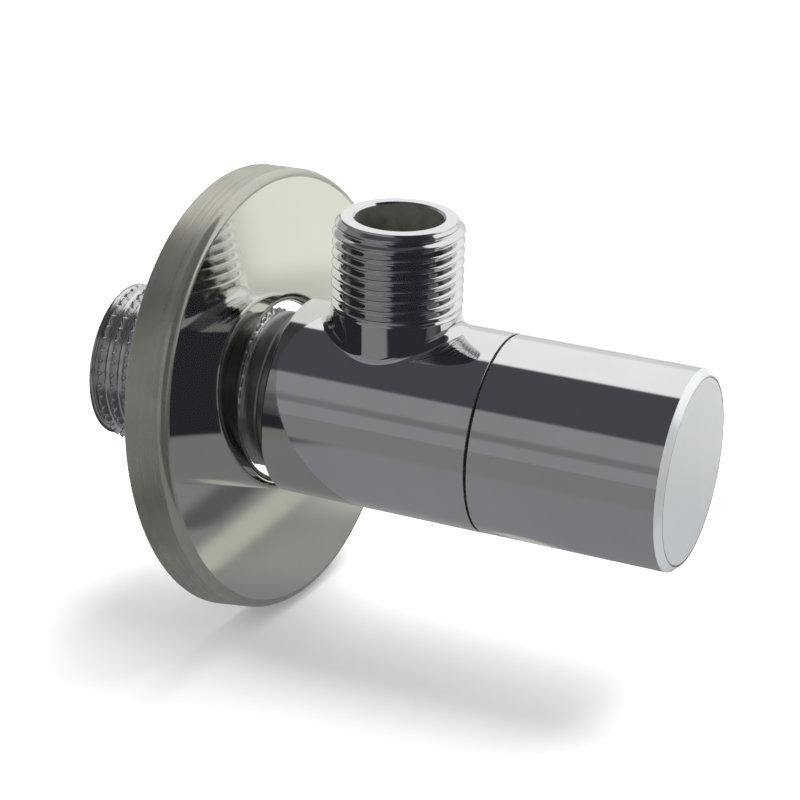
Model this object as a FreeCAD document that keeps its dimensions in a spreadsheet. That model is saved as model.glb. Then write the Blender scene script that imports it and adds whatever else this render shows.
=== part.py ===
import FreeCAD, Part
import math
import os

import Sketcher

# Angle valve for a wash basin, in millimetres. The inlet points to the wall (+Y), the outlet up (+Z)
# and the knob to the front (-Y). The origin is on the inlet's axis in the plane of the wall.
# Depths are measured from the wall plane towards the knob. Every round piece is drawn as a half
# section, with its radius across and its depth upwards, and is turned to face the front at the end.

SIZES = {
    # body
    "outlet_depth": 20.0,           # wall plane to the outlet's axis
    "body_width": 25.6,             # diameter of the round body
    "body_back": 7.2,               # wall plane to the rear shoulder
    "body_length": 27.75,           # rear shoulder to the front edge
    "back_round": 0.4,              # rounding of the rear shoulder
    "front_break": 0.1,             # broken edges at the seam
    "inlet_reach": 19.1,            # inlet's end behind the wall plane
    "inlet_thread_width": 20.955,   # G 1/2 over the crests
    "inlet_lead": 1.0,              # smooth lead-in at the inlet's end
    "inlet_lead_step": 0.8775,      # how far the lead-in lies below the crests
    "inlet_thread_rise": 0.5,       # how far the thread comes in front of the wall plane
    "inlet_neck_step": 0.2275,      # how far the neck before the shoulder lies below the crests
    "inlet_bore": 14.5,
    "inlet_bore_break": 0.5,
    "port_bore": 10.0,              # bore through the seat wall
    "seat_depth": 9.0,              # wall plane to the valve seat
    "chamber_bore": 18.6,
    "mouth_thread_wall": 2.5,       # wall outside the headwork's female thread, which is left smooth
    "mouth_thread_length": 7.2,
    "mouth_wall": 2.2,              # wall outside the counterbore for the bonnet's ring
    "mouth_bore_depth": 1.6,
    "ring_recess_wall": 0.55,       # wall outside the guide ring's recess
    "ring_recess_depth": 0.55,
    # outlet
    "outlet_stand": 13.5,           # body's top to the outlet's end
    "outlet_thread_width": 16.662,  # G 3/8 over the crests
    "outlet_thread_length": 10.7,
    "outlet_face_width": 14.45,     # flat end inside the chamfer
    "outlet_chamfer": 1.2,          # height of the end chamfer
    "outlet_neck_width": 16.3,
    "outlet_bore": 11.15,
    "outlet_bore_break": 0.25,
    "outlet_port_bore": 9.4,        # passage below the step that stops the pipe
    "saddle_round": 1.4,            # rounding between outlet and body
    # rosette
    "rosette_width": 57.8,
    "rosette_height": 5.75,         # rim plane to the front face
    "rosette_taper": 0.3,           # how far the rim narrows towards the face
    "rosette_round": 1.1,           # outer radius of the pressed edge
    "sheet": 0.8,
    "hole_round": 1.3,              # outer radius of the hole's edge, which is drawn towards the wall
    "rosette_play": 0.92,           # between the inlet's thread and the edge of the hole
    "rosette_drop": 0.25,           # the loose plate hangs a little low
    "rosette_gap": 0.075,           # between its face and the body's rear shoulder
    "rosette_tilt": 8.0,            # degrees that it leans
    "rosette_lean": 35.0,           # degrees from upright that it leans towards
    # headwork
    "seal_height": 2.6,
    "seal_inner": 11.0,
    "seal_play": 0.1,
    "seal_stand": 0.6,              # seal stands out of the skirt
    "seal_ring_inner": 10.2,
    "fixed_disc_height": 2.5,
    "moving_disc_height": 2.2,
    "disc_gap": 0.3,                # moving disc and flange to the skirt
    "disc_play": 0.1,               # fixed disc to the skirt
    "ear_width": 3.0,
    "ear_play": 0.1,
    "port_inner": 3.4,
    "port_outer": 10.0,
    "port_angle": 80.0,
    "slot_width": 2.4,
    "slot_depth": 1.0,
    "skirt_width": 16.4,
    "skirt_bore": 13.8,
    "window_space": 5.5,            # moving disc to the spindle's flange
    "window_width": 9.0,
    "window_margin": 0.4,
    "flange_height": 2.2,           # spindle's flange
    "washer_height": 0.7,
    "lug_angle": 40.0,
    "turn_angle": 90.0,             # quarter turn
    "stop_play": 1.0,               # degrees free at each stop
    "lug_inner": 10.0,
    "lug_play": 0.2,
    "thread_play": 0.05,
    "thread_relief": 0.3,
    "bonnet_neck_gap": 1.4,         # between the bonnet's neck and the counterbore
    "bonnet_flange_gap": 1.15,      # between the bonnet's flange and the recess
    "bonnet_flange_height": 1.0,
    "hex_inset": 1.6,               # edge of the flange to the flats
    "hex_height": 4.5,
    "boss_width": 13.0,
    "boss_height": 1.1,
    "stem_bore": 8.0,
    "run_play": 0.05,               # radial play of what turns
    "seat_play": 0.05,              # axial play of what turns
    "stem_foot_width": 5.2,
    "tongue_length": 9.0,
    "tongue_play": 0.1,
    "tongue_root": 1.2,
    "oring_groove_width": 1.9,
    "oring_groove_root": 5.8,
    "oring_first": 2.2,             # inner groove behind the shoulder
    "oring_pitch": 4.0,
    "clip_height": 0.7,
    "clip_groove_root": 6.2,
    "clip_width": 10.6,
    "clip_open_angle": 50.0,
    "spline_start": 1.6,            # top of the housing to the spline
    "spline_length": 8.0,
    "spline_width": 7.8,
    "spline_root": 6.9,
    "spline_teeth": 20,
    "spline_flank": 0.78,           # half width gained per depth
    "spline_play": 0.1,
    "tap_width": 4.0,
    "tap_depth": 9.0,
    "end_break": 0.3,
    "guide_ring_height": 0.8,
    "ring_play": 0.05,
    # knob
    "knob_step": 0.05,              # how far the knob lies below the body's skin
    "knob_gap": 0.28,               # fine gap between body and knob
    "knob_length": 24.9,
    "knob_wall": 1.3,
    "knob_chamfer": 0.8,
    "knob_rim": 0.2,                # flat rim between chamfer and cap
    "web_height": 6.0,
    "web_bore": 14.0,
    "key_width": 2.6,
    "key_depth": 1.0,
    "key_play": 0.05,
    "cap_height": 2.8,
    "cap_play": 0.05,
    "cap_ledge": 1.05,
    "cap_recess_width": 15.0,
    "cap_recess_depth": 1.4,
    "cap_groove_depth": 1.15,       # groove's root to the knob's bore
    "cap_groove_width": 1.4,
    "cap_groove_low": 0.6,
    "insert_floor": 1.5,            # plastic floor under the screw's washer
    "insert_flange_width": 18.0,
    "insert_flange_height": 1.5,
    "insert_seat": 2.5,             # spindle's end to the knob's web
    "insert_play": 0.05,
    "screw_width": 3.9,
    "screw_hole": 4.3,
    "screw_depth": 8.0,             # screw's reach into the spindle
    "screw_head_width": 7.2,
    "screw_head_height": 2.4,
    "screw_head_crown": 0.7,
    "recess_width": 0.9,
    "recess_length": 4.2,
    "recess_depth": 1.3,
    "screw_washer_width": 8.0,
    "screw_washer_height": 0.8,
    "pocket_width": 8.6,
}

# Sizes that follow from others, as the sheet's own formulas. Each one may use those above it.
FORMULAS = {
    "inlet_lead_width": "inlet_thread_width - inlet_lead_step * 2",
    "inlet_neck_width": "inlet_thread_width - inlet_neck_step * 2",
    "mouth_thread_bore": "body_width - mouth_thread_wall * 2",
    "mouth_bore": "body_width - mouth_wall * 2",
    "recess_bore": "body_width - ring_recess_wall * 2",
    "outlet_height": "body_width / 2 + outlet_stand",
    "rosette_hole": "inlet_thread_width + rosette_play * 2",
    # where the tilted face crosses the inlet's axis when it rests against the rear shoulder
    "rosette_face": "body_back + back_round - (body_width / 2 - back_round) * tan(rosette_tilt * 1 deg)"
                    " - (rosette_gap + back_round) / cos(rosette_tilt * 1 deg)",
    # middle of the rim plane behind the wall plane, with the face in that place
    "rosette_back": "(rosette_height - rosette_drop * cos(rosette_lean * 1 deg)"
                    " * sin(rosette_tilt * 1 deg)) / cos(rosette_tilt * 1 deg) - rosette_face",
    "bonnet_neck_width": "mouth_bore - bonnet_neck_gap * 2",
    "bonnet_flange_width": "recess_bore - bonnet_flange_gap * 2",
    "hex_width": "bonnet_flange_width - hex_inset * 2",
    "knob_width": "body_width - knob_step * 2",
    "knob_bore": "knob_width - knob_wall * 2",
    "cap_bore": "knob_width - (knob_chamfer + knob_rim) * 2",
    "cap_groove_root": "cap_bore - cap_groove_depth * 2",
}

TAN_30 = math.tan(math.radians(30))


class Size:
    """A length, kept as a number and as the expression on the sheet that gives it."""

    def __init__(self, number, text):
        self.number = number
        self.text = text

    @staticmethod
    def of(value):
        return value if isinstance(value, Size) else Size(float(value), repr(value))

    def __add__(self, other):
        other = Size.of(other)
        return Size(self.number + other.number, f"({self.text} + {other.text})")

    def __sub__(self, other):
        other = Size.of(other)
        return Size(self.number - other.number, f"({self.text} - {other.text})")

    def __mul__(self, other):
        other = Size.of(other)
        return Size(self.number * other.number, f"{self.text} * {other.text}")

    def __truediv__(self, other):
        other = Size.of(other)
        return Size(self.number / other.number, f"{self.text} / {other.text}")

    def __neg__(self):
        return Size(-self.number, f"(-1 * {self.text})")


class Names:
    """The sizes of a sheet, each by its own name."""

    def __init__(self, sheet, names):
        for name in names:
            setattr(self, name, Size(float(sheet.get(name)), f"Sizes.{name}"))


doc = FreeCAD.newDocument("AngleValve")
sheet = doc.addObject("Spreadsheet::Sheet", "Sizes")
cells = {name: str(number) for name, number in SIZES.items()}
cells.update({name: f"={formula}" for name, formula in FORMULAS.items()})
for row, (alias, content) in enumerate(cells.items(), start=1):
    sheet.set(f"A{row}", alias)
    sheet.set(f"B{row}", content)
    sheet.setAlias(f"B{row}", alias)
doc.recompute()

size = Names(sheet, cells)
ZERO = Size(0.0, "0")
FACE_FRONT = FreeCAD.Rotation(FreeCAD.Vector(1, 0, 0), 90)


# Drawing helpers

def new_body(name):
    """A body with its own label, turned so that its local Z points to the front."""
    body = doc.addObject("PartDesign::Body", name)
    body.Label = name
    body.Placement = FreeCAD.Placement(FreeCAD.Vector(0, 0, 0), FACE_FRONT)
    return body


def origin_feature(body, role):
    """One of the body's own planes or axes."""
    for feature in body.Origin.OriginFeatures:
        if feature.Role == role:
            return feature
    raise RuntimeError(f"{body.Name} has no {role}")


def new_sketch(body, name, plane, height=None):
    """An empty sketch on one of the body's planes, raised by a height if one is given."""
    sketch = body.newObject("Sketcher::SketchObject", name)
    sketch.AttachmentSupport = (origin_feature(body, plane), [""])
    sketch.MapMode = "FlatFace"
    if height is not None:
        sketch.AttachmentOffset = FreeCAD.Placement(
            FreeCAD.Vector(0, 0, height.number), FreeCAD.Rotation())
        sketch.setExpression(".AttachmentOffset.Base.z", height.text)
    return sketch


def bind(sketch, constraint, value):
    """Add a constraint whose value comes from the sheet."""
    index = sketch.addConstraint(constraint)
    sketch.setExpression(f"Constraints[{index}]", value.text)


def pin_point(sketch, edge, end, across, along):
    """Fix a point of the sketch by its two distances from the origin."""
    if across.number == 0:
        sketch.addConstraint(Sketcher.Constraint("PointOnObject", edge, end, -2))
    else:
        bind(sketch, Sketcher.Constraint("DistanceX", -1, 1, edge, end, across.number), across)
    if along.number == 0:
        sketch.addConstraint(Sketcher.Constraint("PointOnObject", edge, end, -1))
    else:
        bind(sketch, Sketcher.Constraint("DistanceY", -1, 1, edge, end, along.number), along)


def arc_between(start, end, radius, left):
    """The minor arc from start to end that curves to the left or right of its way."""
    half = (end - start) / 2
    side = FreeCAD.Vector(-half.y, half.x, 0) if left else FreeCAD.Vector(half.y, -half.x, 0)
    rise = math.sqrt(max(radius ** 2 - half.Length ** 2, 0.0))
    centre = start + half + side.normalize() * rise
    first, last = (start, end) if left else (end, start)
    angles = [math.atan2(p.y - centre.y, p.x - centre.x) for p in (first, last)]
    if angles[1] <= angles[0]:
        angles[1] += 2 * math.pi
    circle = Part.Circle(centre, FreeCAD.Vector(0, 0, 1), radius)
    return Part.ArcOfCircle(circle, angles[0], angles[1])


def outline(body, name, plane, corners, height=None):
    """A closed outline. A corner is (across, along), or (across, along, radius, side) when an arc
    that curves to that side leads to it."""
    sketch = new_sketch(body, name, plane, height)
    corners = [(Size.of(c[0]), Size.of(c[1])) + tuple(c[2:]) for c in corners]
    points = [FreeCAD.Vector(c[0].number, c[1].number, 0) for c in corners]
    ends = []
    for i, corner in enumerate(corners):
        start, end = points[i - 1], points[i]
        if len(corner) == 2:
            edge = sketch.addGeometry(Part.LineSegment(start, end), False)
            ends.append((edge, 1, 2))
            continue
        left = corner[3] == "left"
        edge = sketch.addGeometry(arc_between(start, end, corner[2].number, left), False)
        ends.append((edge, 1, 2) if left else (edge, 2, 1))
        bind(sketch, Sketcher.Constraint("Radius", edge, corner[2].number), corner[2])
    for i, (edge, first, last) in enumerate(ends):
        after, after_first, _ = ends[(i + 1) % len(ends)]
        sketch.addConstraint(Sketcher.Constraint("Coincident", edge, last, after, after_first))
        pin_point(sketch, edge, last, corners[i][0], corners[i][1])
    return sketch


def sector(body, name, inner, outer, angle, middle, height):
    """A ring's sector on the XY plane, its middle at the given angle from X in degrees."""
    sketch = new_sketch(body, name, "XY_Plane", height)
    half = math.radians(angle.number / 2)
    centre_line = math.radians(middle)
    low, high = centre_line - half, centre_line + half
    centre = FreeCAD.Vector(0, 0, 0)
    up = FreeCAD.Vector(0, 0, 1)
    reach = []
    for radius in (inner, outer):
        circle = Part.Circle(centre, up, radius.number)
        edge = sketch.addGeometry(Part.ArcOfCircle(circle, low, high), False)
        sketch.addConstraint(Sketcher.Constraint("Coincident", edge, 3, -1, 1))
        bind(sketch, Sketcher.Constraint("Radius", edge, radius.number), radius)
        reach.append(edge)
    for end, turn in ((1, low), (2, high)):
        ray = FreeCAD.Vector(math.cos(turn), math.sin(turn), 0)
        line = Part.LineSegment(ray * inner.number, ray * outer.number)
        side = sketch.addGeometry(line, False)
        sketch.addConstraint(Sketcher.Constraint("Coincident", side, 1, reach[0], end))
        sketch.addConstraint(Sketcher.Constraint("Coincident", side, 2, reach[1], end))
        sketch.addConstraint(Sketcher.Constraint("PointOnObject", -1, 1, side))
    first = reach[1] + 1
    middle_line = sketch.addGeometry(Part.LineSegment(
        centre, FreeCAD.Vector(math.cos(centre_line), math.sin(centre_line), 0)), True)
    sketch.addConstraint(Sketcher.Constraint("Coincident", middle_line, 1, -1, 1))
    sketch.addConstraint(Sketcher.Constraint("Distance", middle_line, 1.0))
    sketch.addConstraint(Sketcher.Constraint("Angle", middle_line, centre_line))
    for side, first_edge, second_edge in ((0, first, middle_line), (1, middle_line, first + 1)):
        index = sketch.addConstraint(
            Sketcher.Constraint("Angle", first_edge, 1, second_edge, 1, half))
        sketch.setExpression(f"Constraints[{index}]", f"{(angle / 2).text} * 1 deg")
    return sketch


def finish_feature(body, feature, grows):
    """Recompute, and check that the feature added or removed material as it should."""
    before = feature.BaseFeature.Shape.Volume if feature.BaseFeature else 0.0
    doc.recompute()
    change = feature.Shape.Volume - before
    if feature.Shape.isNull() or (change <= 0) == grows:
        raise RuntimeError(f"{body.Name}: {feature.Name} changes the volume by {change:.3f}")
    return feature


def turned(body, corners, name="Section", angle=None):
    """The solid of revolution of a half section about the body's Z."""
    section = outline(body, name, "XZ_Plane", corners)
    feature = body.newObject("PartDesign::Revolution", name + "Turned")
    feature.Profile = section
    feature.ReferenceAxis = (section, ["V_Axis"])
    feature.Angle = 360
    if angle is not None:
        feature.Angle = angle.number
        feature.setExpression("Angle", f"{angle.text} * 1 deg")
    return finish_feature(body, feature, True)


def bored(body, corners, name):
    """Cut a half section, turned about the body's Z, out of the body."""
    section = outline(body, name, "XZ_Plane", corners)
    feature = body.newObject("PartDesign::Groove", name + "Turned")
    feature.Profile = section
    feature.ReferenceAxis = (section, ["V_Axis"])
    feature.Angle = 360
    return finish_feature(body, feature, False)


def padded(body, sketch, length, name):
    """Raise a sketch by a length."""
    feature = body.newObject("PartDesign::Pad", name)
    feature.Profile = sketch
    feature.Length = length.number
    feature.setExpression("Length", length.text)
    return finish_feature(body, feature, True)


def sunk(body, sketch, length, name, upwards=False):
    """Cut a sketch into the body, downwards unless it says otherwise."""
    feature = body.newObject("PartDesign::Pocket", name)
    feature.Profile = sketch
    feature.Length = length.number
    feature.setExpression("Length", length.text)
    feature.Reversed = upwards
    return finish_feature(body, feature, False)


def cut_through(body, sketch, length, name):
    """Cut a sketch to both sides of its plane, the length being the whole way."""
    feature = body.newObject("PartDesign::Pocket", name)
    feature.Profile = sketch
    feature.Length = length.number
    feature.setExpression("Length", length.text)
    feature.Midplane = True
    return finish_feature(body, feature, False)


def repeated(body, feature, count, grows):
    """Repeat a feature evenly round the body's Z."""
    pattern = body.newObject("PartDesign::PolarPattern", feature.Name + "Ring")
    pattern.Originals = [feature]
    pattern.Axis = (origin_feature(body, "Z_Axis"), [""])
    pattern.Angle = 360
    pattern.Occurrences = int(count.number)
    pattern.setExpression("Occurrences", count.text)
    body.Tip = pattern
    before = feature.Shape.Volume
    doc.recompute()
    change = pattern.Shape.Volume - before
    if (change <= 0) == grows:
        raise RuntimeError(f"{body.Name}: {pattern.Name} changes the volume by {change:.3f}")
    return pattern


def rectangle(width, low, high):
    """Corners of an upright rectangle with the centre line in its middle."""
    half = width / 2
    return [(-half, low), (half, low), (half, high), (-half, high)]


def ring_corners(inner, outer, low, high):
    """Half section of a flat ring, from its two diameters."""
    return [(inner / 2, low), (outer / 2, low), (outer / 2, high), (inner / 2, high)]


def rubber_ring(name, inner, outer, middle):
    """A ring of round section that lies between two diameters, with its middle at a depth."""
    ring = doc.addObject("Part::Torus", name)
    ring.Label = name
    main = (inner + outer) / 4
    section = (outer - inner) / 4
    ring.Radius1 = main.number
    ring.Radius2 = section.number
    ring.setExpression("Radius1", main.text)
    ring.setExpression("Radius2", section.text)
    ring.Placement = FreeCAD.Placement(FreeCAD.Vector(0, -middle.number, 0), FACE_FRONT)
    ring.setExpression(".Placement.Base.y", (-middle).text)
    doc.recompute()
    return ring


def edges_between(shape, first_radius, second_radius):
    """Names of the edges where cylinders of the two radii meet."""
    found = []
    for index, edge in enumerate(shape.Edges, start=1):
        faces = shape.ancestorsOfType(edge, Part.Face)
        radii = [f.Surface.Radius for f in faces if hasattr(f.Surface, "Radius")]
        wanted = [first_radius.number, second_radius.number]
        if len(radii) == 2 and all(abs(a - b) < 1e-4 for a, b in zip(sorted(radii), sorted(wanted))):
            found.append(f"Edge{index}")
    return found


# Places that several pieces share, as depths from the wall plane

body_front = size.body_back + size.body_length
ledge = body_front - size.ring_recess_depth
disc_base = size.seat_depth + size.seal_height
disc_meet = disc_base + size.fixed_disc_height
disc_top = disc_meet + size.moving_disc_height
flange_low = disc_top + size.window_space
flange_top = flange_low + size.flange_height
shoulder = flange_top + size.washer_height + size.seat_play
bonnet_flange_top = ledge + size.bonnet_flange_height
hex_top = bonnet_flange_top + size.hex_height
housing_top = hex_top + size.boss_height
spline_low = housing_top + size.spline_start
spline_top = spline_low + size.spline_length
knob_back = body_front + size.knob_gap
knob_front = knob_back + size.knob_length
cap_seat = knob_front - size.cap_height
web_top = spline_top + size.insert_seat
web_low = web_top - size.web_height
floor_low = spline_top + size.end_break
floor_top = floor_low + size.insert_floor
washer_top = floor_top + size.screw_washer_height
skirt_low = size.seat_depth + size.seal_stand
mouth_low = ledge - size.mouth_bore_depth
thread_low = mouth_low - size.mouth_thread_length
stem_width = size.stem_bore - size.run_play * 2
turning_width = size.skirt_bore - size.disc_gap * 2
outlet_thread_top = size.outlet_height - size.outlet_chamfer
outlet_thread_low = outlet_thread_top - size.outlet_thread_length
LUG_AT = 0.0    # direction of the housing's stop lug, in degrees from the X axis


# Body of the valve, in three pieces that meet face to face

def make_valve_body():
    """Round body with the outlet's neck and the crossing bores."""
    body = new_body("valve_body")
    radius = size.body_width / 2
    turned(body, [
        (ZERO, size.body_back),
        (radius - size.back_round, size.body_back),
        (radius, size.body_back + size.back_round, size.back_round, "left"),
        (radius, body_front - size.front_break),
        (radius - size.front_break, body_front),
        (ZERO, body_front),
    ], "Outside")

    neck = outlet_outline(body, "Neck", size.outlet_neck_width)
    outlet = body.newObject("PartDesign::Revolution", "NeckTurned")
    outlet.Profile = neck
    outlet.ReferenceAxis = (neck, [outlet_axis(neck)])
    outlet.Angle = 360
    finish_feature(body, outlet, True)

    saddle = body.newObject("PartDesign::Fillet", "Saddle")
    meeting = edges_between(outlet.Shape, size.outlet_neck_width / 2, radius)
    saddle.Base = (outlet, meeting)
    saddle.Radius = size.saddle_round.number
    saddle.setExpression("Radius", size.saddle_round.text)
    finish_feature(body, saddle, True)

    bored(body, [
        (ZERO, size.body_back),
        (size.port_bore / 2, size.body_back),
        (size.port_bore / 2, size.seat_depth),
        (size.chamber_bore / 2, size.seat_depth),
        (size.chamber_bore / 2, thread_low),
        (size.mouth_thread_bore / 2, thread_low),
        (size.mouth_thread_bore / 2, mouth_low),
        (size.mouth_bore / 2, mouth_low),
        (size.mouth_bore / 2, ledge),
        (size.recess_bore / 2, ledge),
        (size.recess_bore / 2, body_front),
        (ZERO, body_front),
    ], "MainBore")

    port = outlet_outline(body, "OutletPort", size.outlet_port_bore)
    passage = body.newObject("PartDesign::Groove", "OutletPortTurned")
    passage.Profile = port
    passage.ReferenceAxis = (port, [outlet_axis(port)])
    passage.Angle = 360
    finish_feature(body, passage, False)
    return body


def outlet_outline(body, name, width):
    """Half section from the body's axis up to the foot of the outlet's thread."""
    return outline(body, name, "YZ_Plane", [
        (ZERO, size.outlet_depth),
        (ZERO, size.outlet_depth + width / 2),
        (outlet_thread_low, size.outlet_depth + width / 2),
        (outlet_thread_low, size.outlet_depth),
    ])


def outlet_axis(sketch):
    """Draw the outlet's centre line in a sketch and return its name as a turning axis."""
    line = sketch.addGeometry(Part.LineSegment(
        FreeCAD.Vector(0, size.outlet_depth.number, 0),
        FreeCAD.Vector(size.outlet_height.number, size.outlet_depth.number, 0)), True)
    pin_point(sketch, line, 1, ZERO, size.outlet_depth)
    pin_point(sketch, line, 2, size.outlet_height, size.outlet_depth)
    return "Axis0"


def make_inlet_tube():
    """Threaded tube behind the body, with the bore that narrows to the body's port.
    Its own origin is the inlet's end, so every depth in it starts there."""
    body = new_body("inlet_tube")
    body.Placement.Base = FreeCAD.Vector(0, size.inlet_reach.number, 0)
    body.setExpression(".Placement.Base.y", size.inlet_reach.text)
    thread_end = size.inlet_reach + size.inlet_thread_rise
    rear = size.inlet_reach + size.body_back
    turned(body, [
        (size.inlet_bore / 2 + size.inlet_bore_break, ZERO),
        (size.inlet_lead_width / 2, ZERO),
        (size.inlet_lead_width / 2, size.inlet_lead),
        (size.inlet_thread_width / 2, size.inlet_lead),
        (size.inlet_thread_width / 2, thread_end),
        (size.inlet_neck_width / 2, thread_end),
        (size.inlet_neck_width / 2, rear),
        (size.port_bore / 2, rear),
        (size.inlet_bore / 2, rear - (size.inlet_bore - size.port_bore) / 2),
        (size.inlet_bore / 2, size.inlet_bore_break),
    ])
    return body


def make_outlet_tube():
    """Upright threaded tube on the body's neck, chamfered round its flat end."""
    body = new_body("outlet_tube")
    body.Placement = FreeCAD.Placement(
        FreeCAD.Vector(0, -size.outlet_depth.number, 0), FreeCAD.Rotation())
    body.setExpression(".Placement.Base.y", (-size.outlet_depth).text)
    bore = size.outlet_bore / 2
    turned(body, [
        (bore, outlet_thread_low),
        (size.outlet_thread_width / 2, outlet_thread_low),
        (size.outlet_thread_width / 2, outlet_thread_top),
        (size.outlet_face_width / 2, size.outlet_height),
        (bore + size.outlet_bore_break, size.outlet_height),
        (bore, size.outlet_height - size.outlet_bore_break),
    ])
    return body


# Rosette

def make_wall_rosette():
    """Pressed steel dish: slightly tapered rim, rounded edge and a flat face whose round hole is drawn
    inwards. It hangs loose on the inlet, leans back at its upper side and rests on the body's rear
    shoulder."""
    body = new_body("wall_rosette")
    outer = size.rosette_width / 2
    shoulder_at = outer - size.rosette_taper
    hole = size.rosette_hole / 2
    face = size.rosette_height
    inner_round = size.rosette_round - size.sheet
    turned(body, [
        (outer - size.sheet, ZERO),
        (outer, ZERO),
        (shoulder_at, face - size.rosette_round),
        (shoulder_at - size.rosette_round, face, size.rosette_round, "left"),
        (hole + size.hole_round, face),
        (hole, face - size.hole_round, size.hole_round, "left"),
        (hole + size.sheet, face - size.hole_round),
        (hole + size.hole_round, face - size.sheet, size.hole_round - size.sheet, "right"),
        (shoulder_at - size.rosette_round, face - size.sheet),
        (shoulder_at - size.sheet, face - size.rosette_round, inner_round, "right"),
    ])
    lean = math.radians(size.rosette_lean.number)
    axis = FreeCAD.Vector(-math.cos(lean), 0, -math.sin(lean))
    tilt = FreeCAD.Rotation(axis, size.rosette_tilt.number)
    place = FreeCAD.Vector(0, size.rosette_back.number, -size.rosette_drop.number)
    body.Placement = FreeCAD.Placement(place, tilt.multiply(FACE_FRONT))
    body.setExpression(".Placement.Base.y", size.rosette_back.text)
    body.setExpression(".Placement.Base.z", (-size.rosette_drop).text)
    return body


# Headwork

def make_headwork_housing():
    """Bonnet: skirt with two windows and the disc's slots, thread, flange, hexagon and boss."""
    body = new_body("headwork_housing")
    thread = size.mouth_thread_bore / 2 - size.thread_play
    turned(body, [
        (ZERO, skirt_low),
        (size.skirt_width / 2, skirt_low),
        (size.skirt_width / 2, thread_low + size.thread_relief),
        (thread, thread_low + size.thread_relief),
        (thread, mouth_low - size.thread_play),
        (size.bonnet_neck_width / 2, mouth_low - size.thread_play),
        (size.bonnet_neck_width / 2, ledge),
        (size.bonnet_flange_width / 2, ledge),
        (size.bonnet_flange_width / 2, bonnet_flange_top),
        (size.boss_width / 2, bonnet_flange_top),
        (size.boss_width / 2, housing_top),
        (ZERO, housing_top),
    ], "Outside")
    flat = size.hex_width / 2
    corner = flat * TAN_30
    hexagon = outline(body, "Hexagon", "XY_Plane", [
        (flat, -corner),
        (flat, corner),
        (ZERO, corner * 2),
        (-flat, corner),
        (-flat, -corner),
        (ZERO, -corner * 2),
    ], bonnet_flange_top)
    padded(body, hexagon, size.hex_height, "HexagonRaised")
    bored(body, [
        (ZERO, skirt_low),
        (size.skirt_bore / 2, skirt_low),
        (size.skirt_bore / 2, shoulder),
        (size.stem_bore / 2, shoulder),
        (size.stem_bore / 2, housing_top),
        (ZERO, housing_top),
    ], "Bore")
    window = outline(body, "Window", "XZ_Plane", rectangle(
        size.window_width, disc_top + size.window_margin, flange_low - size.window_margin))
    cut_through(body, window, size.skirt_width + size.window_margin, "WindowCut")
    slot = outline(body, "EarSlot", "YZ_Plane", rectangle(
        size.ear_width + size.ear_play * 2, skirt_low, disc_meet))
    cut_through(body, slot, size.skirt_width + size.window_margin, "EarSlotCut")
    wall_middle = (size.skirt_bore + size.skirt_width) / 4
    lug = sector(body, "StopLug", size.lug_inner / 2, wall_middle, size.lug_angle, LUG_AT, flange_low)
    padded(body, lug, size.flange_height, "StopLugRaised")
    return body


def make_spindle():
    """Spindle: tongue, foot, flange with the sector for the stop, ring grooves, clip groove and spline,
    with a tapped hole in its end."""
    body = new_body("spindle")
    foot = size.stem_foot_width / 2
    stem = stem_width / 2
    groove = size.oring_groove_root / 2
    inner_low = shoulder + size.oring_first
    outer_low = inner_low + size.oring_pitch
    clip_low = housing_top + size.seat_play
    spline = size.spline_width / 2
    tap = size.tap_width / 2
    turned(body, [
        (ZERO, disc_top + size.seat_play),
        (foot, disc_top + size.seat_play),
        (foot, flange_low),
        (turning_width / 2, flange_low),
        (turning_width / 2, flange_top),
        (stem, flange_top),
        (stem, inner_low),
        (groove, inner_low),
        (groove, inner_low + size.oring_groove_width),
        (stem, inner_low + size.oring_groove_width),
        (stem, outer_low),
        (groove, outer_low),
        (groove, outer_low + size.oring_groove_width),
        (stem, outer_low + size.oring_groove_width),
        (stem, clip_low),
        (size.clip_groove_root / 2, clip_low),
        (size.clip_groove_root / 2, clip_low + size.clip_height),
        (spline, clip_low + size.clip_height),
        (spline, spline_top - size.end_break),
        (spline - size.end_break, spline_top),
        (tap, spline_top),
        (tap, spline_top - size.tap_depth),
        (ZERO, spline_top - size.tap_depth),
    ], "Outside")
    tongue_low = disc_top - size.slot_depth + size.seat_play
    half_width = size.slot_width / 2 - size.tongue_play
    half_length = size.tongue_length / 2
    tongue = outline(body, "Tongue", "XY_Plane", [
        (-half_width, -half_length),
        (half_width, -half_length),
        (half_width, half_length),
        (-half_width, half_length),
    ], tongue_low)
    padded(body, tongue, size.slot_depth + size.tongue_root, "TongueRaised")
    opening = size.lug_angle + size.turn_angle + size.stop_play * 2
    middle = LUG_AT - size.turn_angle.number / 2
    stop = sector(body, "StopSector", size.lug_inner / 2 - size.lug_play, size.skirt_bore / 2,
                  opening, middle, flange_low)
    sunk(body, stop, size.flange_height, "StopSectorCut", upwards=True)
    root = size.spline_root / 2
    depth = spline + size.spline_play - root
    notch = outline(body, "Notch", "XY_Plane", [
        (ZERO, root),
        (depth * size.spline_flank, root + depth),
        (-depth * size.spline_flank, root + depth),
    ], spline_low)
    first = sunk(body, notch, size.spline_length + size.spline_play, "NotchCut", upwards=True)
    repeated(body, first, size.spline_teeth, False)
    return body


def make_spindle_orings():
    """The two rings of the spindle, and the ring under the bonnet's flange."""
    middle = shoulder + size.oring_first + size.oring_groove_width / 2
    inner = size.oring_groove_root + size.run_play
    outer = size.stem_bore - size.run_play
    first = rubber_ring("spindle_oring_inner", inner, outer, middle)
    second = rubber_ring("spindle_oring_outer", inner, outer, middle + size.oring_pitch)
    bonnet = rubber_ring("bonnet_oring", size.bonnet_neck_width + size.ring_play,
                         size.mouth_bore - size.ring_play, ledge - size.mouth_bore_depth / 2)
    return [first, second, bonnet]


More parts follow.
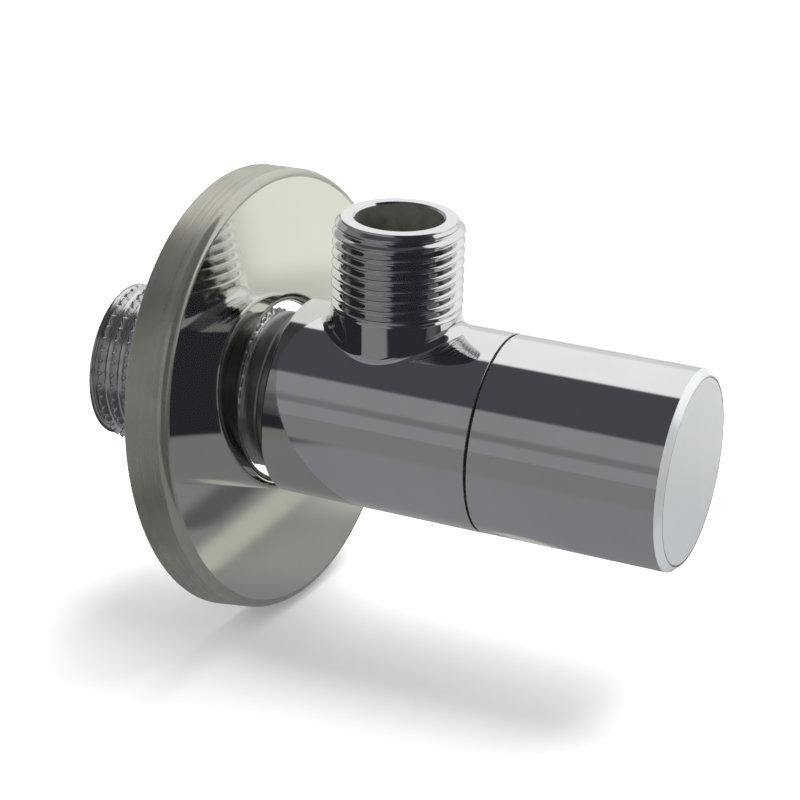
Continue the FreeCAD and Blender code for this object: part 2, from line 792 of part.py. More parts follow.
def make_slip_washer():
    """Thrust washer between the spindle's flange and the housing's shoulder."""
    body = new_body("slip_washer")
    turned(body, ring_corners(size.stem_bore + size.disc_gap, turning_width,
                              shoulder - size.washer_height, shoulder))
    return body


def make_spindle_circlip():
    """Open spring ring in the spindle's groove, on top of the housing."""
    body = new_body("spindle_circlip")
    low = housing_top + size.seat_play
    closed = Size(360.0, "360") - size.clip_open_angle
    turned(body, ring_corners(size.clip_groove_root + size.run_play * 2, size.clip_width,
                              low, low + size.clip_height), angle=closed)
    return body


def make_disc(name, width, low, high, ports_at):
    """Ceramic disc with two sector ports."""
    body = new_body(name)
    turned(body, [(ZERO, low), (width / 2, low), (width / 2, high), (ZERO, high)])
    port = sector(body, "Port", size.port_inner / 2, size.port_outer / 2, size.port_angle, ports_at, low)
    cut = sunk(body, port, high - low, "PortCut", upwards=True)
    repeated(body, cut, Size(2.0, "2"), False)
    return body


def make_fixed_disc():
    """Lower disc, held by two ears in the slots of the skirt. Its ports face up and down."""
    body = make_disc("fixed_disc", size.skirt_bore - size.disc_play * 2, disc_base, disc_meet, 90)
    half_reach = size.skirt_width / 2 - size.ear_play
    half_width = size.ear_width / 2
    inside = size.port_outer / 2 + size.disc_gap
    for side, name in ((1, "EarRight"), (-1, "EarLeft")):
        near = inside * side
        far = half_reach * side
        ear = outline(body, name, "XY_Plane", [
            (near, -half_width),
            (far, -half_width),
            (far, half_width),
            (near, half_width),
        ], disc_base)
        padded(body, ear, size.fixed_disc_height, name + "Raised")
    return body


def make_moving_disc():
    """Upper disc, turned by the spindle's tongue in its slot. Its ports face sideways when shut."""
    body = make_disc("moving_disc", turning_width, disc_meet, disc_top, 0)
    half_width = size.slot_width / 2
    half_length = turning_width / 2 + size.disc_gap
    slot = outline(body, "Slot", "XY_Plane", [
        (-half_width, -half_length),
        (half_width, -half_length),
        (half_width, half_length),
        (-half_width, half_length),
    ], disc_top)
    sunk(body, slot, size.slot_depth, "SlotCut")
    return body


def make_seat_seal():
    """Rubber ring between the body's seat and the fixed disc."""
    body = new_body("seat_seal")
    turned(body, ring_corners(size.seal_inner, size.skirt_bore - size.seal_play * 2,
                              size.seat_depth, disc_base))
    return body


def make_seat_seal_ring():
    """Steel ring that stiffens the rubber ring from inside."""
    body = new_body("seat_seal_ring")
    turned(body, ring_corners(size.seal_ring_inner, size.seal_inner,
                              size.seat_depth + size.seal_stand, disc_base))
    return body


def make_guide_ring():
    """Dark plastic ring in the body's front recess. It shows as the fine line behind the knob."""
    body = new_body("guide_ring")
    turned(body, ring_corners(size.bonnet_flange_width + size.ring_play * 2,
                              size.recess_bore - size.ring_play * 2,
                              ledge, ledge + size.guide_ring_height))
    return body


# Knob

def make_handle_knob():
    """Knob: sleeve with an inner web, four keyways in the web and a recess for the end disc."""
    body = new_body("handle_knob")
    outer = size.knob_width / 2
    ledge_bore = size.cap_bore / 2 - size.cap_ledge
    turned(body, [
        (size.knob_bore / 2, knob_back),
        (outer - size.front_break, knob_back),
        (outer, knob_back + size.front_break),
        (outer, knob_front - size.knob_chamfer),
        (outer - size.knob_chamfer, knob_front),
        (size.cap_bore / 2, knob_front),
        (size.cap_bore / 2, cap_seat),
        (ledge_bore, cap_seat),
        (ledge_bore, web_top),
        (size.web_bore / 2, web_top),
        (size.web_bore / 2, web_low),
        (size.knob_bore / 2, web_low),
    ])
    half = size.key_width / 2
    bore = size.web_bore / 2
    keyway = outline(body, "Keyway", "XY_Plane", [
        (-half, bore - size.key_depth),
        (half, bore - size.key_depth),
        (half, bore + size.key_depth),
        (-half, bore + size.key_depth),
    ], web_top)
    first = sunk(body, keyway, size.web_height, "KeywayCut")
    repeated(body, first, Size(4.0, "4"), False)
    return body


def make_handle_insert():
    """Plastic hub: inner spline for the spindle, floor for the screw, flange and four drive keys."""
    body = new_body("handle_insert")
    outer = size.web_bore / 2 - size.insert_play
    bore = size.spline_width / 2 + size.spline_play
    low = spline_low + size.spline_play
    turned(body, [
        (bore, low),
        (outer, low),
        (outer, web_top),
        (size.insert_flange_width / 2, web_top),
        (size.insert_flange_width / 2, web_top + size.insert_flange_height),
        (size.pocket_width / 2, web_top + size.insert_flange_height),
        (size.pocket_width / 2, floor_top),
        (size.screw_hole / 2, floor_top),
        (size.screw_hole / 2, floor_low),
        (bore, floor_low),
    ])
    half = size.key_width / 2 - size.key_play
    key = outline(body, "Key", "XY_Plane", [
        (-half, outer - size.key_depth),
        (half, outer - size.key_depth),
        (half, size.web_bore / 2 + size.key_depth - size.key_play),
        (-half, size.web_bore / 2 + size.key_depth - size.key_play),
    ], web_low)
    first = padded(body, key, size.web_height, "KeyRaised")
    repeated(body, first, Size(4.0, "4"), True)
    tip = size.spline_root / 2 + size.spline_play
    depth = bore + size.spline_play - tip
    tooth = outline(body, "Tooth", "XY_Plane", [
        (ZERO, tip),
        (depth * size.spline_flank, tip + depth),
        (-depth * size.spline_flank, tip + depth),
    ], low)
    first_tooth = padded(body, tooth, size.spline_length - size.spline_play * 2, "ToothRaised")
    repeated(body, first_tooth, size.spline_teeth, True)
    return body


def make_handle_screw():
    """Pan-head screw with a cross recess, its thread left smooth."""
    body = new_body("handle_screw")
    head_top = washer_top + size.screw_head_height
    head = size.screw_head_width / 2
    crown = size.screw_head_crown
    turned(body, [
        (ZERO, spline_top - size.screw_depth),
        (size.screw_width / 2 - size.end_break, spline_top - size.screw_depth),
        (size.screw_width / 2, spline_top - size.screw_depth + size.end_break),
        (size.screw_width / 2, washer_top),
        (head, washer_top),
        (head, head_top - crown),
        (head - crown, head_top, crown, "left"),
        (ZERO, head_top),
    ])
    near = size.recess_width / 2
    far = size.recess_length / 2
    cross = outline(body, "Cross", "XY_Plane", [
        (near, near), (near, far), (-near, far), (-near, near),
        (-far, near), (-far, -near), (-near, -near), (-near, -far),
        (near, -far), (near, -near), (far, -near), (far, near),
    ], head_top)
    sunk(body, cross, size.recess_depth, "CrossCut")
    return body


def make_screw_washer():
    """Washer under the screw's head, on the insert's floor."""
    body = new_body("screw_washer")
    turned(body, ring_corners(size.screw_hole, size.screw_washer_width, floor_top, washer_top))
    return body


def make_handle_cap():
    """End disc of the knob, with a groove for its rubber ring and a hollow back."""
    body = new_body("handle_cap")
    outer = size.cap_bore / 2 - size.cap_play
    groove_low = cap_seat + size.cap_groove_low
    groove_high = groove_low + size.cap_groove_width
    turned(body, [
        (ZERO, cap_seat + size.cap_recess_depth),
        (size.cap_recess_width / 2, cap_seat + size.cap_recess_depth),
        (size.cap_recess_width / 2, cap_seat),
        (outer, cap_seat),
        (outer, groove_low),
        (size.cap_groove_root / 2, groove_low),
        (size.cap_groove_root / 2, groove_high),
        (outer, groove_high),
        (outer, knob_front),
        (ZERO, knob_front),
    ])
    return body


def make_cap_oring():
    """Ring that holds the end disc in the knob."""
    middle = cap_seat + size.cap_groove_low + size.cap_groove_width / 2
    return rubber_ring("cap_oring", size.cap_groove_root + size.ring_play,
                       size.cap_bore - size.ring_play, middle)


# The whole valve

def build_all():
    """Make every piece and return them as a list."""
    pieces = [
        make_valve_body(),
        make_inlet_tube(),
        make_outlet_tube(),
        make_wall_rosette(),
        make_headwork_housing(),
        make_guide_ring(),
        make_spindle(),
        make_slip_washer(),
        make_spindle_circlip(),
        make_fixed_disc(),
        make_moving_disc(),
        make_seat_seal(),
        make_seat_seal_ring(),
        make_handle_knob(),
        make_handle_insert(),
        make_handle_screw(),
        make_screw_washer(),
        make_handle_cap(),
        make_cap_oring(),
    ]
    pieces += make_spindle_orings()
    doc.recompute()
    return pieces


def write_all(pieces):
    """Check every object and every piece, then write one STEP file for each piece."""
    for item in doc.Objects:
        if "Invalid" in item.State or "Error" in item.State:
            raise RuntimeError(f"{item.Name} is {item.State}")
    for piece in pieces:
        shape = piece.Shape
        if shape.isNull() or not shape.isValid() or len(shape.Solids) != 1:
            raise RuntimeError(f"{piece.Label} is not one valid solid")
    os.makedirs("parts", exist_ok=True)
    for piece in pieces:
        piece.Shape.exportStep(f"parts/{piece.Label}.step")
        print(f"{piece.Label}: {piece.Shape.Volume:.1f} mm3")


write_all(build_all())
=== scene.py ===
"""Chromed angle valve with a loose wall rosette: its visible surfaces and finishes, laid over the
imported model, and the small studio that it stands in.

Lengths are in metres. The barrel lies along Y with its knob towards -Y, the outlet stands along Z.
"""

import math

import bpy
import numpy as np
from bpy.props import FloatProperty, FloatVectorProperty, IntProperty, PointerProperty
from mathutils import Matrix, Vector


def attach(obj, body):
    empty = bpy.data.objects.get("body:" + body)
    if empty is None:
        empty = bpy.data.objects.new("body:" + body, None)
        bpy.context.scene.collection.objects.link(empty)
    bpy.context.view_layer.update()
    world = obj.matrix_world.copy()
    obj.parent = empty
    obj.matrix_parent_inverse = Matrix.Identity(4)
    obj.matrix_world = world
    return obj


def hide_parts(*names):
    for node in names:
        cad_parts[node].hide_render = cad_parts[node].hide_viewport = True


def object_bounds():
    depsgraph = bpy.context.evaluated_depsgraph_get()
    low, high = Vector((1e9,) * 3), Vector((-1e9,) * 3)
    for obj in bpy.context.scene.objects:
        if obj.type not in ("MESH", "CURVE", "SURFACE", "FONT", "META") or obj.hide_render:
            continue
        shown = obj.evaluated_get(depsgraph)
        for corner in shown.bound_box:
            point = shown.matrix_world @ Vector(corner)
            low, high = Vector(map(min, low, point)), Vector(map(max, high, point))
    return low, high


bl_info = {
    "name": "Angle valve",
    "version": (1, 0, 0),
    "blender": (4, 5, 0),
    "location": "View3D > Sidebar > Angle valve",
    "description": "Makes the visible surfaces, finishes and studio of a chromed angle valve",
    "category": "Add Mesh",
}

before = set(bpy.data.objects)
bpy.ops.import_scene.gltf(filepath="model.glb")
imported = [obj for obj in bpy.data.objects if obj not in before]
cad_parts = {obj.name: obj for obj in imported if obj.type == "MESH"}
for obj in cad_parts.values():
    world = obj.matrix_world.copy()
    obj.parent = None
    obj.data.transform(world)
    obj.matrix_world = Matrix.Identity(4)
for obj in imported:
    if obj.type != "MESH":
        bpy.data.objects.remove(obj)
CAD_BOX = [list(corner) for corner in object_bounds()]


# Sizes and colours that a user may change

def length(name, description, metres):
    """A length in metres with its name, description and default."""
    return FloatProperty(name=name, description=description, default=metres, unit="LENGTH",
                         subtype="DISTANCE", precision=5)


def angle_of(name, description, degrees):
    """An angle given in degrees, with its name and description."""
    return FloatProperty(name=name, description=description, default=math.radians(degrees),
                         unit="ROTATION", subtype="ANGLE")


def level(name, description, number, least=0.0):
    """A plain number with its name, description, default and least value."""
    return FloatProperty(name=name, description=description, default=number, min=least)


def colour(name, description, red, green, blue):
    """A linear colour with its name, description and default."""
    return FloatVectorProperty(name=name, description=description, default=(red, green, blue),
                               subtype="COLOR", size=3, min=0.0, max=1.0)


def point(name, description, x, y, z):
    """A point in metres with its name, description and default."""
    return FloatVectorProperty(name=name, description=description, default=(x, y, z), size=3,
                               unit="LENGTH", subtype="TRANSLATION")


class BodySizes(bpy.types.PropertyGroup):
    width: length("Barrel width", "Outside width of the round body", 0.0256)
    back: length("Shoulder", "Wall plane to the body's rear face", 0.0072)
    front: length("Front", "Wall plane to the body's front face", 0.03495)
    back_round: length("Rear rounding", "Rounding of the rear edge", 0.0004)
    front_round: length("Front rounding", "Broken edge at the front", 0.0001)
    saddle_round: length("Saddle rounding", "Rounding between barrel and outlet neck", 0.0014)
    port_bore: length("Port bore", "Bore through the seat wall", 0.010)
    seat: length("Seat", "Wall plane to the valve seat", 0.009)
    chamber_bore: length("Chamber bore", "Bore of the chamber", 0.0186)
    chamber_end: length("Chamber end", "Wall plane to the headwork's thread", 0.0256)
    thread_bore: length("Headwork bore", "Bore for the headwork", 0.0206)
    thread_end: length("Headwork bore end", "Wall plane to the counterbore", 0.0328)
    mouth_bore: length("Mouth bore", "Counterbore for the bonnet's ring", 0.0212)
    ledge: length("Ledge", "Wall plane to the guide ring's recess", 0.0344)
    recess_bore: length("Recess bore", "Recess of the guide ring", 0.0245)
    window_reach: length("Collar reach", "Outlet's axis to the edge of its collar of faces", 0.011)
    port_margin: length("Port margin", "Width of the collar of faces round the port", 0.0005)


class OutletSizes(bpy.types.PropertyGroup):
    depth: length("Outlet depth", "Wall plane to the outlet's axis", 0.020)
    low: length("Tube foot", "Barrel's axis to the foot of the thread", 0.0144)
    high: length("Tube end", "Barrel's axis to the outlet's end", 0.0263)
    neck_width: length("Neck width", "Width of the plain neck", 0.01656)
    port_bore: length("Port bore", "Passage below the step", 0.0094)
    bore: length("Bore", "Bore of the tube", 0.01115)
    bore_round: length("Bore edge", "Broken edge of the bore", 0.00025)
    face_width: length("Face width", "Width of the flat end", 0.01445)
    crest_width: length("Crest width", "Thread over its crests", 0.016662)
    pitch: length("Pitch", "Pitch of the thread", 0.001337)
    thread_depth: length("Thread depth", "Crest to root", 0.00086)
    chamfer: length("Chamfer height", "Height of the chamfer at the end", 0.0012)
    end_round: length("End rounding", "Rounding of the outer edge at the end", 0.00012)
    fade: length("Thread start", "Height over which the thread rises from the neck", 0.0011)
    crest_height: length("Crest height", "Height of one crest", 0.02422)
    crest_angle: angle_of("Crest angle", "Direction of that crest from +X", 113.45)


class InletSizes(bpy.types.PropertyGroup):
    reach: length("Reach", "Wall plane to the inlet's end", 0.0191)
    crest_width: length("Crest width", "Thread over its crests", 0.020955)
    pitch: length("Pitch", "Pitch of the thread", 0.001814)
    thread_depth: length("Thread depth", "Crest to root", 0.00116)
    rise: length("Thread start", "How far the thread comes in front of the wall plane", 0.0032)
    run_in: level("Thread rise", "Share of the pitch over which the thread rises", 0.6)
    neck_width: length("Neck width", "Between thread and shoulder", 0.020495)
    lead: length("Lead", "Smooth lead-in at the end", 0.001)
    lead_width: length("Lead width", "Width of the lead-in", 0.0203)
    bore: length("Bore", "Bore of the inlet", 0.0145)
    bore_round: length("Bore edge", "Broken edge of the bore", 0.0005)
    notches: IntProperty(name="Notches", description="Grip notches round each crest",
                         default=38, min=8, max=60)
    notch_depth: length("Notch depth", "Depth of the grip notches", 0.0006)
    collar: length("Collar", "Wall plane to the collar before the body", 0.0056)
    collar_rise: length("Collar rise", "Length over which the collar rises", 0.0006)
    groove_breadth: level("Groove breadth", "1 for grooves as wide as the crests, more for wider",
                          2.8, 1.0)
    notch_width: level("Notch width", "1 for notches as wide as the rest, more for narrower", 3.0, 1.0)
    end_round: length("End rounding", "Rounding of the outer edge at the end", 0.0002)
    crest_reach: length("Crest reach", "Wall plane to one crest", 0.01760)
    crest_angle: angle_of("Crest angle", "Direction of that crest from upright", 270)


class RosetteSizes(bpy.types.PropertyGroup):
    width: length("Width", "Width over the rim", 0.0578)
    height: length("Height", "Rim plane to the flat face", 0.00575)
    taper: length("Rim taper", "How far the rim draws in towards the face", 0.0003)
    edge_round: length("Edge rounding", "Outer rounding of the pressed edge", 0.0011)
    sheet: length("Sheet", "Thickness of the steel", 0.0008)
    hole: length("Hole", "Width of the hole", 0.022795)
    hole_round: length("Hole rounding", "Outer rounding of the hole's drawn edge", 0.0013)
    drop: length("Drop", "How far the loose plate hangs", 0.00025)
    back: length("Set back", "How far it sits behind the wall plane", 0.0004)
    tilt: angle_of("Tilt", "How far the plate leans back", 8)
    lean: angle_of("Lean", "Direction of the lean from upright", 35)


class KnobSizes(bpy.types.PropertyGroup):
    width: length("Width", "Outside width of the knob", 0.0255)
    back: length("Rear", "Wall plane to the knob's rear edge", 0.03523)
    front: length("Front", "Wall plane to the knob's front", 0.06013)
    edge_round: length("Rear edge", "Broken edge at the rear", 0.0001)
    chamfer: length("Chamfer", "Chamfer round the front", 0.0008)
    bore: length("Bore", "Bore of the sleeve", 0.0229)
    cap_bore: length("Disc bore", "Bore that takes the end disc", 0.0235)
    cap_seat: length("Disc seat", "Wall plane to the disc's seat", 0.05733)
    cap_ledge: length("Disc ledge", "Width of the seat ring", 0.00105)
    web_top: length("Web front", "Wall plane to the web's front", 0.0531)
    web_low: length("Web rear", "Wall plane to the web's rear", 0.0471)
    web_bore: length("Web bore", "Bore through the web", 0.014)
    key_width: length("Keyway width", "Width of the keyways", 0.0026)
    key_depth: length("Keyway depth", "Depth of the keyways", 0.001)
    cap_play: length("Disc play", "Play round the end disc", 0.00005)
    recess_width: length("Disc hollow", "Width of the hollow behind the disc", 0.015)
    recess_depth: length("Disc hollow depth", "Depth of that hollow", 0.0014)
    groove_root: length("Groove root", "Width at the root of the ring groove", 0.0212)
    groove_low: length("Groove start", "Disc seat to the groove", 0.0006)
    groove_width: length("Groove width", "Width of the groove", 0.0014)


class Finishes(bpy.types.PropertyGroup):
    chrome: colour("Chrome", "Polished chrome plate", 0.80, 0.805, 0.81)
    mirror: colour("Polished steel", "Flat face of the rosette", 0.81, 0.80, 0.745)
    brushed: colour("Brushed steel", "Rim of the rosette", 0.60, 0.58, 0.505)
    edge: colour("Rosette's edge", "Rounding between its rim and its face", 0.52, 0.505, 0.45)
    satin: colour("Satin chrome", "End disc and front chamfer of the knob", 0.76, 0.785, 0.80)
    neck: colour("Neck", "Inlet's neck inside the rosette", 0.42, 0.42, 0.41)
    raw_bore: colour("Plain bore", "Machined bore without plate", 0.58, 0.57, 0.52)
    brass: colour("Brass", "Turned brass of the headwork", 0.72, 0.53, 0.24)
    steel: colour("Steel", "Screw, washer and clip", 0.56, 0.56, 0.55)
    rubber: colour("Rubber", "Seals and rings", 0.018, 0.018, 0.02)
    plastic: colour("Plastic", "Slip washer and seal's ring", 0.62, 0.61, 0.56)
    guide: colour("Guide ring", "Dark plastic ring in the seam", 0.05, 0.042, 0.036)
    insert: colour("Insert", "Splined insert in the knob", 0.74, 0.73, 0.70)
    ceramic: colour("Ceramic", "Valve discs", 0.83, 0.82, 0.79)


class StudioSizes(bpy.types.PropertyGroup):
    dome_radius: length("Dome radius", "Radius of the reflected studio", 0.9)
    floor_radius: length("Floor radius", "Radius of the pale floor", 3.0)
    floor_colour: colour("Floor", "Colour of the floor", 0.93, 0.93, 0.93)
    floor_lift: level("Floor lift", "What the camera sees over the floor's own light", 0.16)
    dome_middle: length("Dome middle", "Where the studio's directions start along Y", -0.02)
    side_wall: colour("Side wall", "Grey wall on the camera's side", 0.265, 0.27, 0.28)
    shelf: colour("Shelf", "Darker band low on that wall", 0.19, 0.19, 0.20)
    ceiling: colour("Ceiling", "Dark ceiling", 0.069, 0.067, 0.078)
    front_wall: colour("Front wall", "Dim wall behind the camera", 0.17, 0.17, 0.175)
    soft_box: colour("Soft box", "Wide soft box overhead", 0.95, 0.96, 0.955)
    pale_wall: colour("Pale wall", "Pale wall beyond the soft box", 0.72, 0.73, 0.71)
    rear_wall: colour("Rear wall", "Grey wall and floor behind the rosette", 0.22, 0.22, 0.22)
    mat: colour("Mat", "Grey mat under the valve", 0.235, 0.24, 0.25)
    table: colour("Table", "Pale table on the right", 0.88, 0.88, 0.83)
    # The cloth's colour is also painted on the floor as the rosette's shadow and as a strip of shade
    cloth: colour("Cloth", "Dark cloth round the camera", 0.028, 0.027, 0.035)
    strip: colour("Strip", "Pale strip in front of the barrel", 0.50, 0.50, 0.46)
    world_level: level("World level", "Even light from all round", 0.72)
    lamp_watts: FloatProperty(name="Lamp power", description="Power of the large soft lamp",
                              default=9.0, min=0, unit="POWER")
    lamp_size: length("Lamp size", "Edge of the square lamp", 0.7)
    lamp_place: point("Lamp place", "Where the lamp hangs", 0.45, -0.1, 0.75)
    lens: FloatProperty(name="Lens", description="Focal length of the camera", default=110.24,
                        unit="CAMERA", min=1)
    azimuth: angle_of("Azimuth", "Camera's direction round the object", -66.551)
    elevation: angle_of("Elevation", "Camera's height angle", 22.912)
    roll: angle_of("Roll", "Camera's turn about its own axis", 1.667)
    camera_place: point("Camera place", "Where the camera stands", -0.264151, -0.135355, 0.123441)


class ValveSettings(bpy.types.PropertyGroup):
    body: PointerProperty(type=BodySizes)
    outlet: PointerProperty(type=OutletSizes)
    inlet: PointerProperty(type=InletSizes)
    rosette: PointerProperty(type=RosetteSizes)
    knob: PointerProperty(type=KnobSizes)
    finishes: PointerProperty(type=Finishes)
    studio: PointerProperty(type=StudioSizes)


# Surfaces on grids

def full_circle(faces):
    """Angles all the way round, for that many faces."""
    return np.linspace(0.0, 2 * math.pi, faces + 1)


COLUMNS = 144                   # faces round a turned surface
STEPS = 7                       # points round each rounded corner
WINDOW = math.radians(55)       # half width of the window that an opening gets in a cylinder
WINDOW_ROWS = 48
COLLAR_ROWS = 8                 # rows between that window and the opening's edge
COLLAR_SPACING = 0.8            # below 1 they lie closer together at the edge
SADDLE_ROWS = 12                # rows across the rounding between barrel and outlet
OUTLET_ROWS, INLET_ROWS = 160, 210      # points along each thread
NOTCH_COLUMNS = 10              # faces round each of the inlet's notches
ROSETTE_COLUMNS = 192
KEY_POINTS, ARC_POINTS = 7, 29  # points along a keyway's floor and between two keyways
FLOOR_COLUMNS, FLOOR_RINGS, FIRST_RING = 288, 150, 0.008
DOME_COLUMNS, DOME_ROWS = 360, 180
SIDE = np.linspace(-WINDOW, WINDOW, 49)
REST = np.linspace(WINDOW, 2 * math.pi - WINDOW, 97)
WHOLE = np.concatenate([SIDE, REST[1:]])
FULL_TURN = full_circle(COLUMNS)

# An axis is its origin, the two directions that angles turn between, and its own direction
BARREL_AXIS = np.array([(0, 0, 0), (0, 0, 1), (1, 0, 0), (0, -1, 0)], float)


def upright_axis(origin):
    """An upright axis through a point: angles from +X towards +Y, height along +Z."""
    return np.array([origin, (1, 0, 0), (0, 1, 0), (0, 0, 1)], float)


def outlet_axis(outlet):
    """The outlet's axis, upright through the barrel's."""
    return upright_axis((0, -outlet.depth, 0))


def plate_axis(rosette):
    """The rosette's axis: its rear centre, and directions leaned about a line in the wall plane."""
    line = Vector((-math.cos(rosette.lean), 0, -math.sin(rosette.lean)))
    tilt = np.array(Matrix.Rotation(rosette.tilt, 3, line))
    turned = tilt @ np.array([(1, 0, 0), (0, 0, 1), (0, -1, 0)], float).T
    return np.vstack([(0, rosette.back, -rosette.drop), turned.T])


def unit(vectors):
    """Vectors scaled to length one."""
    return vectors / np.linalg.norm(vectors, axis=-1, keepdims=True)


def rounded_path(corners, radii=0.0, closed=False):
    """Points along an outline with rounded corners, and the outward direction at each.

    Outward is to the right of the way. Before a corner the line stops short by the radius times
    the tangent of half the turn. From there the outward direction swings through the turn, and each
    point lies one radius from the centre along it, or against it where the turn is to the right.
    A corner of radius 0 stays sharp: its points are one place with both lines' directions.
    """
    corners = np.array(corners, float)
    radii = np.broadcast_to(np.array(radii, float), len(corners))
    ahead = unit(np.roll(corners, -1, axis=0) - corners)
    behind = np.roll(ahead, 1, axis=0)
    if not closed:
        behind[0], ahead[-1] = ahead[0], behind[-1]
    turn = np.arctan2(behind[:, 0] * ahead[:, 1] - behind[:, 1] * ahead[:, 0],
                      (behind * ahead).sum(axis=1))
    start = np.arctan2(-behind[:, 0], behind[:, 1])
    swing = start[:, None] + turn[:, None] * np.linspace(0.0, 1.0, STEPS)
    outward = np.stack([np.cos(swing), np.sin(swing)], -1)
    side = (np.sign(turn) * radii)[:, None]
    first = corners - behind * (radii * np.tan(np.abs(turn) / 2))[:, None]
    centre = first - side * outward[:, 0]
    points = (centre[:, None] + side[..., None] * outward).reshape(-1, 2)
    outward = outward.reshape(-1, 2)
    if closed:
        points, outward = np.vstack([points, points[:1]]), np.vstack([outward, outward[:1]])
    return points, outward


def path_finishes(arcs, lines):
    """Finish numbers along a path: one for each corner's arc and one for the line after it."""
    rows = np.repeat(np.array(arcs)[:, None], STEPS, axis=1)
    rows[:, -1] = lines
    return rows.reshape(-1, 1)


def spokes(angles, axis):
    """Directions away from the axis at the given angles, and the directions that run round it."""
    angles = np.asarray(angles)[..., None]
    away = np.cos(angles) * axis[1] + np.sin(angles) * axis[2]
    around = np.cos(angles) * axis[2] - np.sin(angles) * axis[1]
    return away, around


def turned(path, axis=BARREL_AXIS, angles=WHOLE, finish=0):
    """A path of (radius, along) turned about an axis.

    Its point at an angle is the origin, plus the radius times the direction away from the axis at
    that angle, plus the height along the axis. Outward directions turn with it.
    """
    points, outward = path
    away = spokes(angles, axis)[0][None]
    place = axis[0] + points[:, 0, None, None] * away + points[:, 1, None, None] * axis[3]
    normal = outward[:, 0, None, None] * away + outward[:, 1, None, None] * axis[3]
    return place, normal, finish


def waved(radius, along, angles, axis, finish=0):
    """A wall round an axis whose radius is given for each height and angle.

    Its outward direction is the direction away from the axis, less the radius's slope round the
    axis divided by the radius, less its slope along the axis.
    """
    away, around = spokes(angles, axis)
    place = axis[0] + radius[..., None] * away + along[:, None, None] * axis[3]
    step = angles[1] - angles[0]
    once = radius[:, :-1]
    round_slope = (np.roll(once, -1, axis=1) - np.roll(once, 1, axis=1)) / (2 * step)
    round_slope = np.hstack([round_slope, round_slope[:, :1]])
    slope = np.gradient(radius, along, axis=0)
    slope[0] = slope[-1] = 0.0
    normal = unit(away - (round_slope / radius)[..., None] * around - slope[..., None] * axis[3])
    return place, normal, finish


def windowed_cylinder(radius, sign, depths, edge_curve, finish=0):
    """A cylinder round the barrel's axis with an opening whose edge is a given curve.

    Round the opening, straight lines in (angle, depth) join the edge of a rectangular window to the
    curve, each in its own direction from the window's middle. Sign is 1 for an outer wall and -1 for
    a bore. Returns the patches and the directions round the opening.
    """
    low, window_low, window_high, high = depths

    def wall(angle, depth):
        away = spokes(angle, BARREL_AXIS)[0]
        return radius * away + depth[..., None] * BARREL_AXIS[3], sign * away, finish

    def sheet(angles, steps):
        return wall(*np.broadcast_arrays(angles[None, :], np.asarray(steps)[:, None]))

    inner = np.linspace(window_low, window_high, WINDOW_ROWS + 1)
    edge_angle = np.concatenate([SIDE, np.full(WINDOW_ROWS, WINDOW), SIDE[::-1][1:],
                                 np.full(WINDOW_ROWS, -WINDOW)])
    edge_depth = np.concatenate([np.full(len(SIDE), window_low), inner[1:],
                                 np.full(len(SIDE) - 1, window_high), inner[::-1][1:]])
    middle = (window_low + window_high) / 2
    direction = np.arctan2(middle - edge_depth, radius * np.sin(edge_angle))
    hole_angle, hole_depth = edge_curve(direction)
    share = np.linspace(0.0, 1.0, COLLAR_ROWS + 1)[:, None] ** COLLAR_SPACING
    collar = wall(edge_angle + (hole_angle - edge_angle) * share,
                  edge_depth + (hole_depth - edge_depth) * share)
    return [sheet(WHOLE, (low, window_low)), sheet(REST, inner), sheet(WHOLE, (window_high, high)),
            collar], direction


def joined_mesh(name, patches):
    """One mesh out of grids of points.

    Each patch is (points, outward directions, finish numbers). Four neighbours on a grid make a
    face, turned so that the patch looks along its outward directions. Points in one place are one
    vertex, a face with two equal corners is a triangle, and each face corner keeps its own patch's
    normal, so a curved wall shades smoothly and an edge between two patches stays sharp.
    """
    places, directions, corners, finishes = [], [], [], []
    start = 0
    for place, outward, finish in patches:
        rows, columns = place.shape[:2]
        number = np.arange(rows * columns).reshape(rows, columns)
        quads = np.stack([number[:-1, :-1], number[1:, :-1], number[1:, 1:], number[:-1, 1:]], -1)
        flat, wanted = place.reshape(-1, 3), np.broadcast_to(outward, place.shape).reshape(-1, 3)
        picked = flat[quads]
        facing = np.cross(picked[..., 2, :] - picked[..., 0, :], picked[..., 3, :] - picked[..., 1, :])
        if (facing * wanted[quads[..., 0]]).sum() < 0:
            quads = quads[..., ::-1]
        places.append(flat)
        directions.append(wanted)
        corners.append(quads.reshape(-1, 4) + start)
        finishes.append(np.broadcast_to(finish, quads.shape[:2]).ravel())
        start += rows * columns
    places, directions = np.vstack(places), np.vstack(directions)
    corners, finishes = np.vstack(corners), np.concatenate(finishes)
    _, first, merged = np.unique(np.round(places / 1e-8).astype(np.int64), axis=0,
                                 return_index=True, return_inverse=True)
    vertex = merged.reshape(-1)[corners]
    kept = vertex != np.roll(vertex, 1, axis=1)
    whole = kept.sum(axis=1) > 2
    vertex, kept, corners, finishes = vertex[whole], kept[whole], corners[whole], finishes[whole]
    count = kept.sum(axis=1)

    mesh = bpy.data.meshes.new(name)
    mesh.vertices.add(len(first))
    mesh.vertices.foreach_set("co", places[first].ravel().astype(np.float32))
    mesh.loops.add(int(count.sum()))
    mesh.loops.foreach_set("vertex_index", vertex[kept].astype(np.int32))
    mesh.polygons.add(len(count))
    mesh.polygons.foreach_set("loop_start", (np.cumsum(count) - count).astype(np.int32))
    mesh.polygons.foreach_set("material_index", finishes.astype(np.int32))
    mesh.update(calc_edges=True)
    if mesh.validate():
        raise RuntimeError(name + ": the grids don't make a sound mesh")
    mesh.normals_split_custom_set(directions[corners[kept]])
    return mesh


def add_object(name, patches, materials):
    """An object at the origin from joined grids, with its materials in order."""
    mesh = joined_mesh(name, patches)
    for material in materials:
        mesh.materials.append(material)
    made = bpy.data.objects.new(name, mesh)
    bpy.context.scene.collection.objects.link(made)
    return made


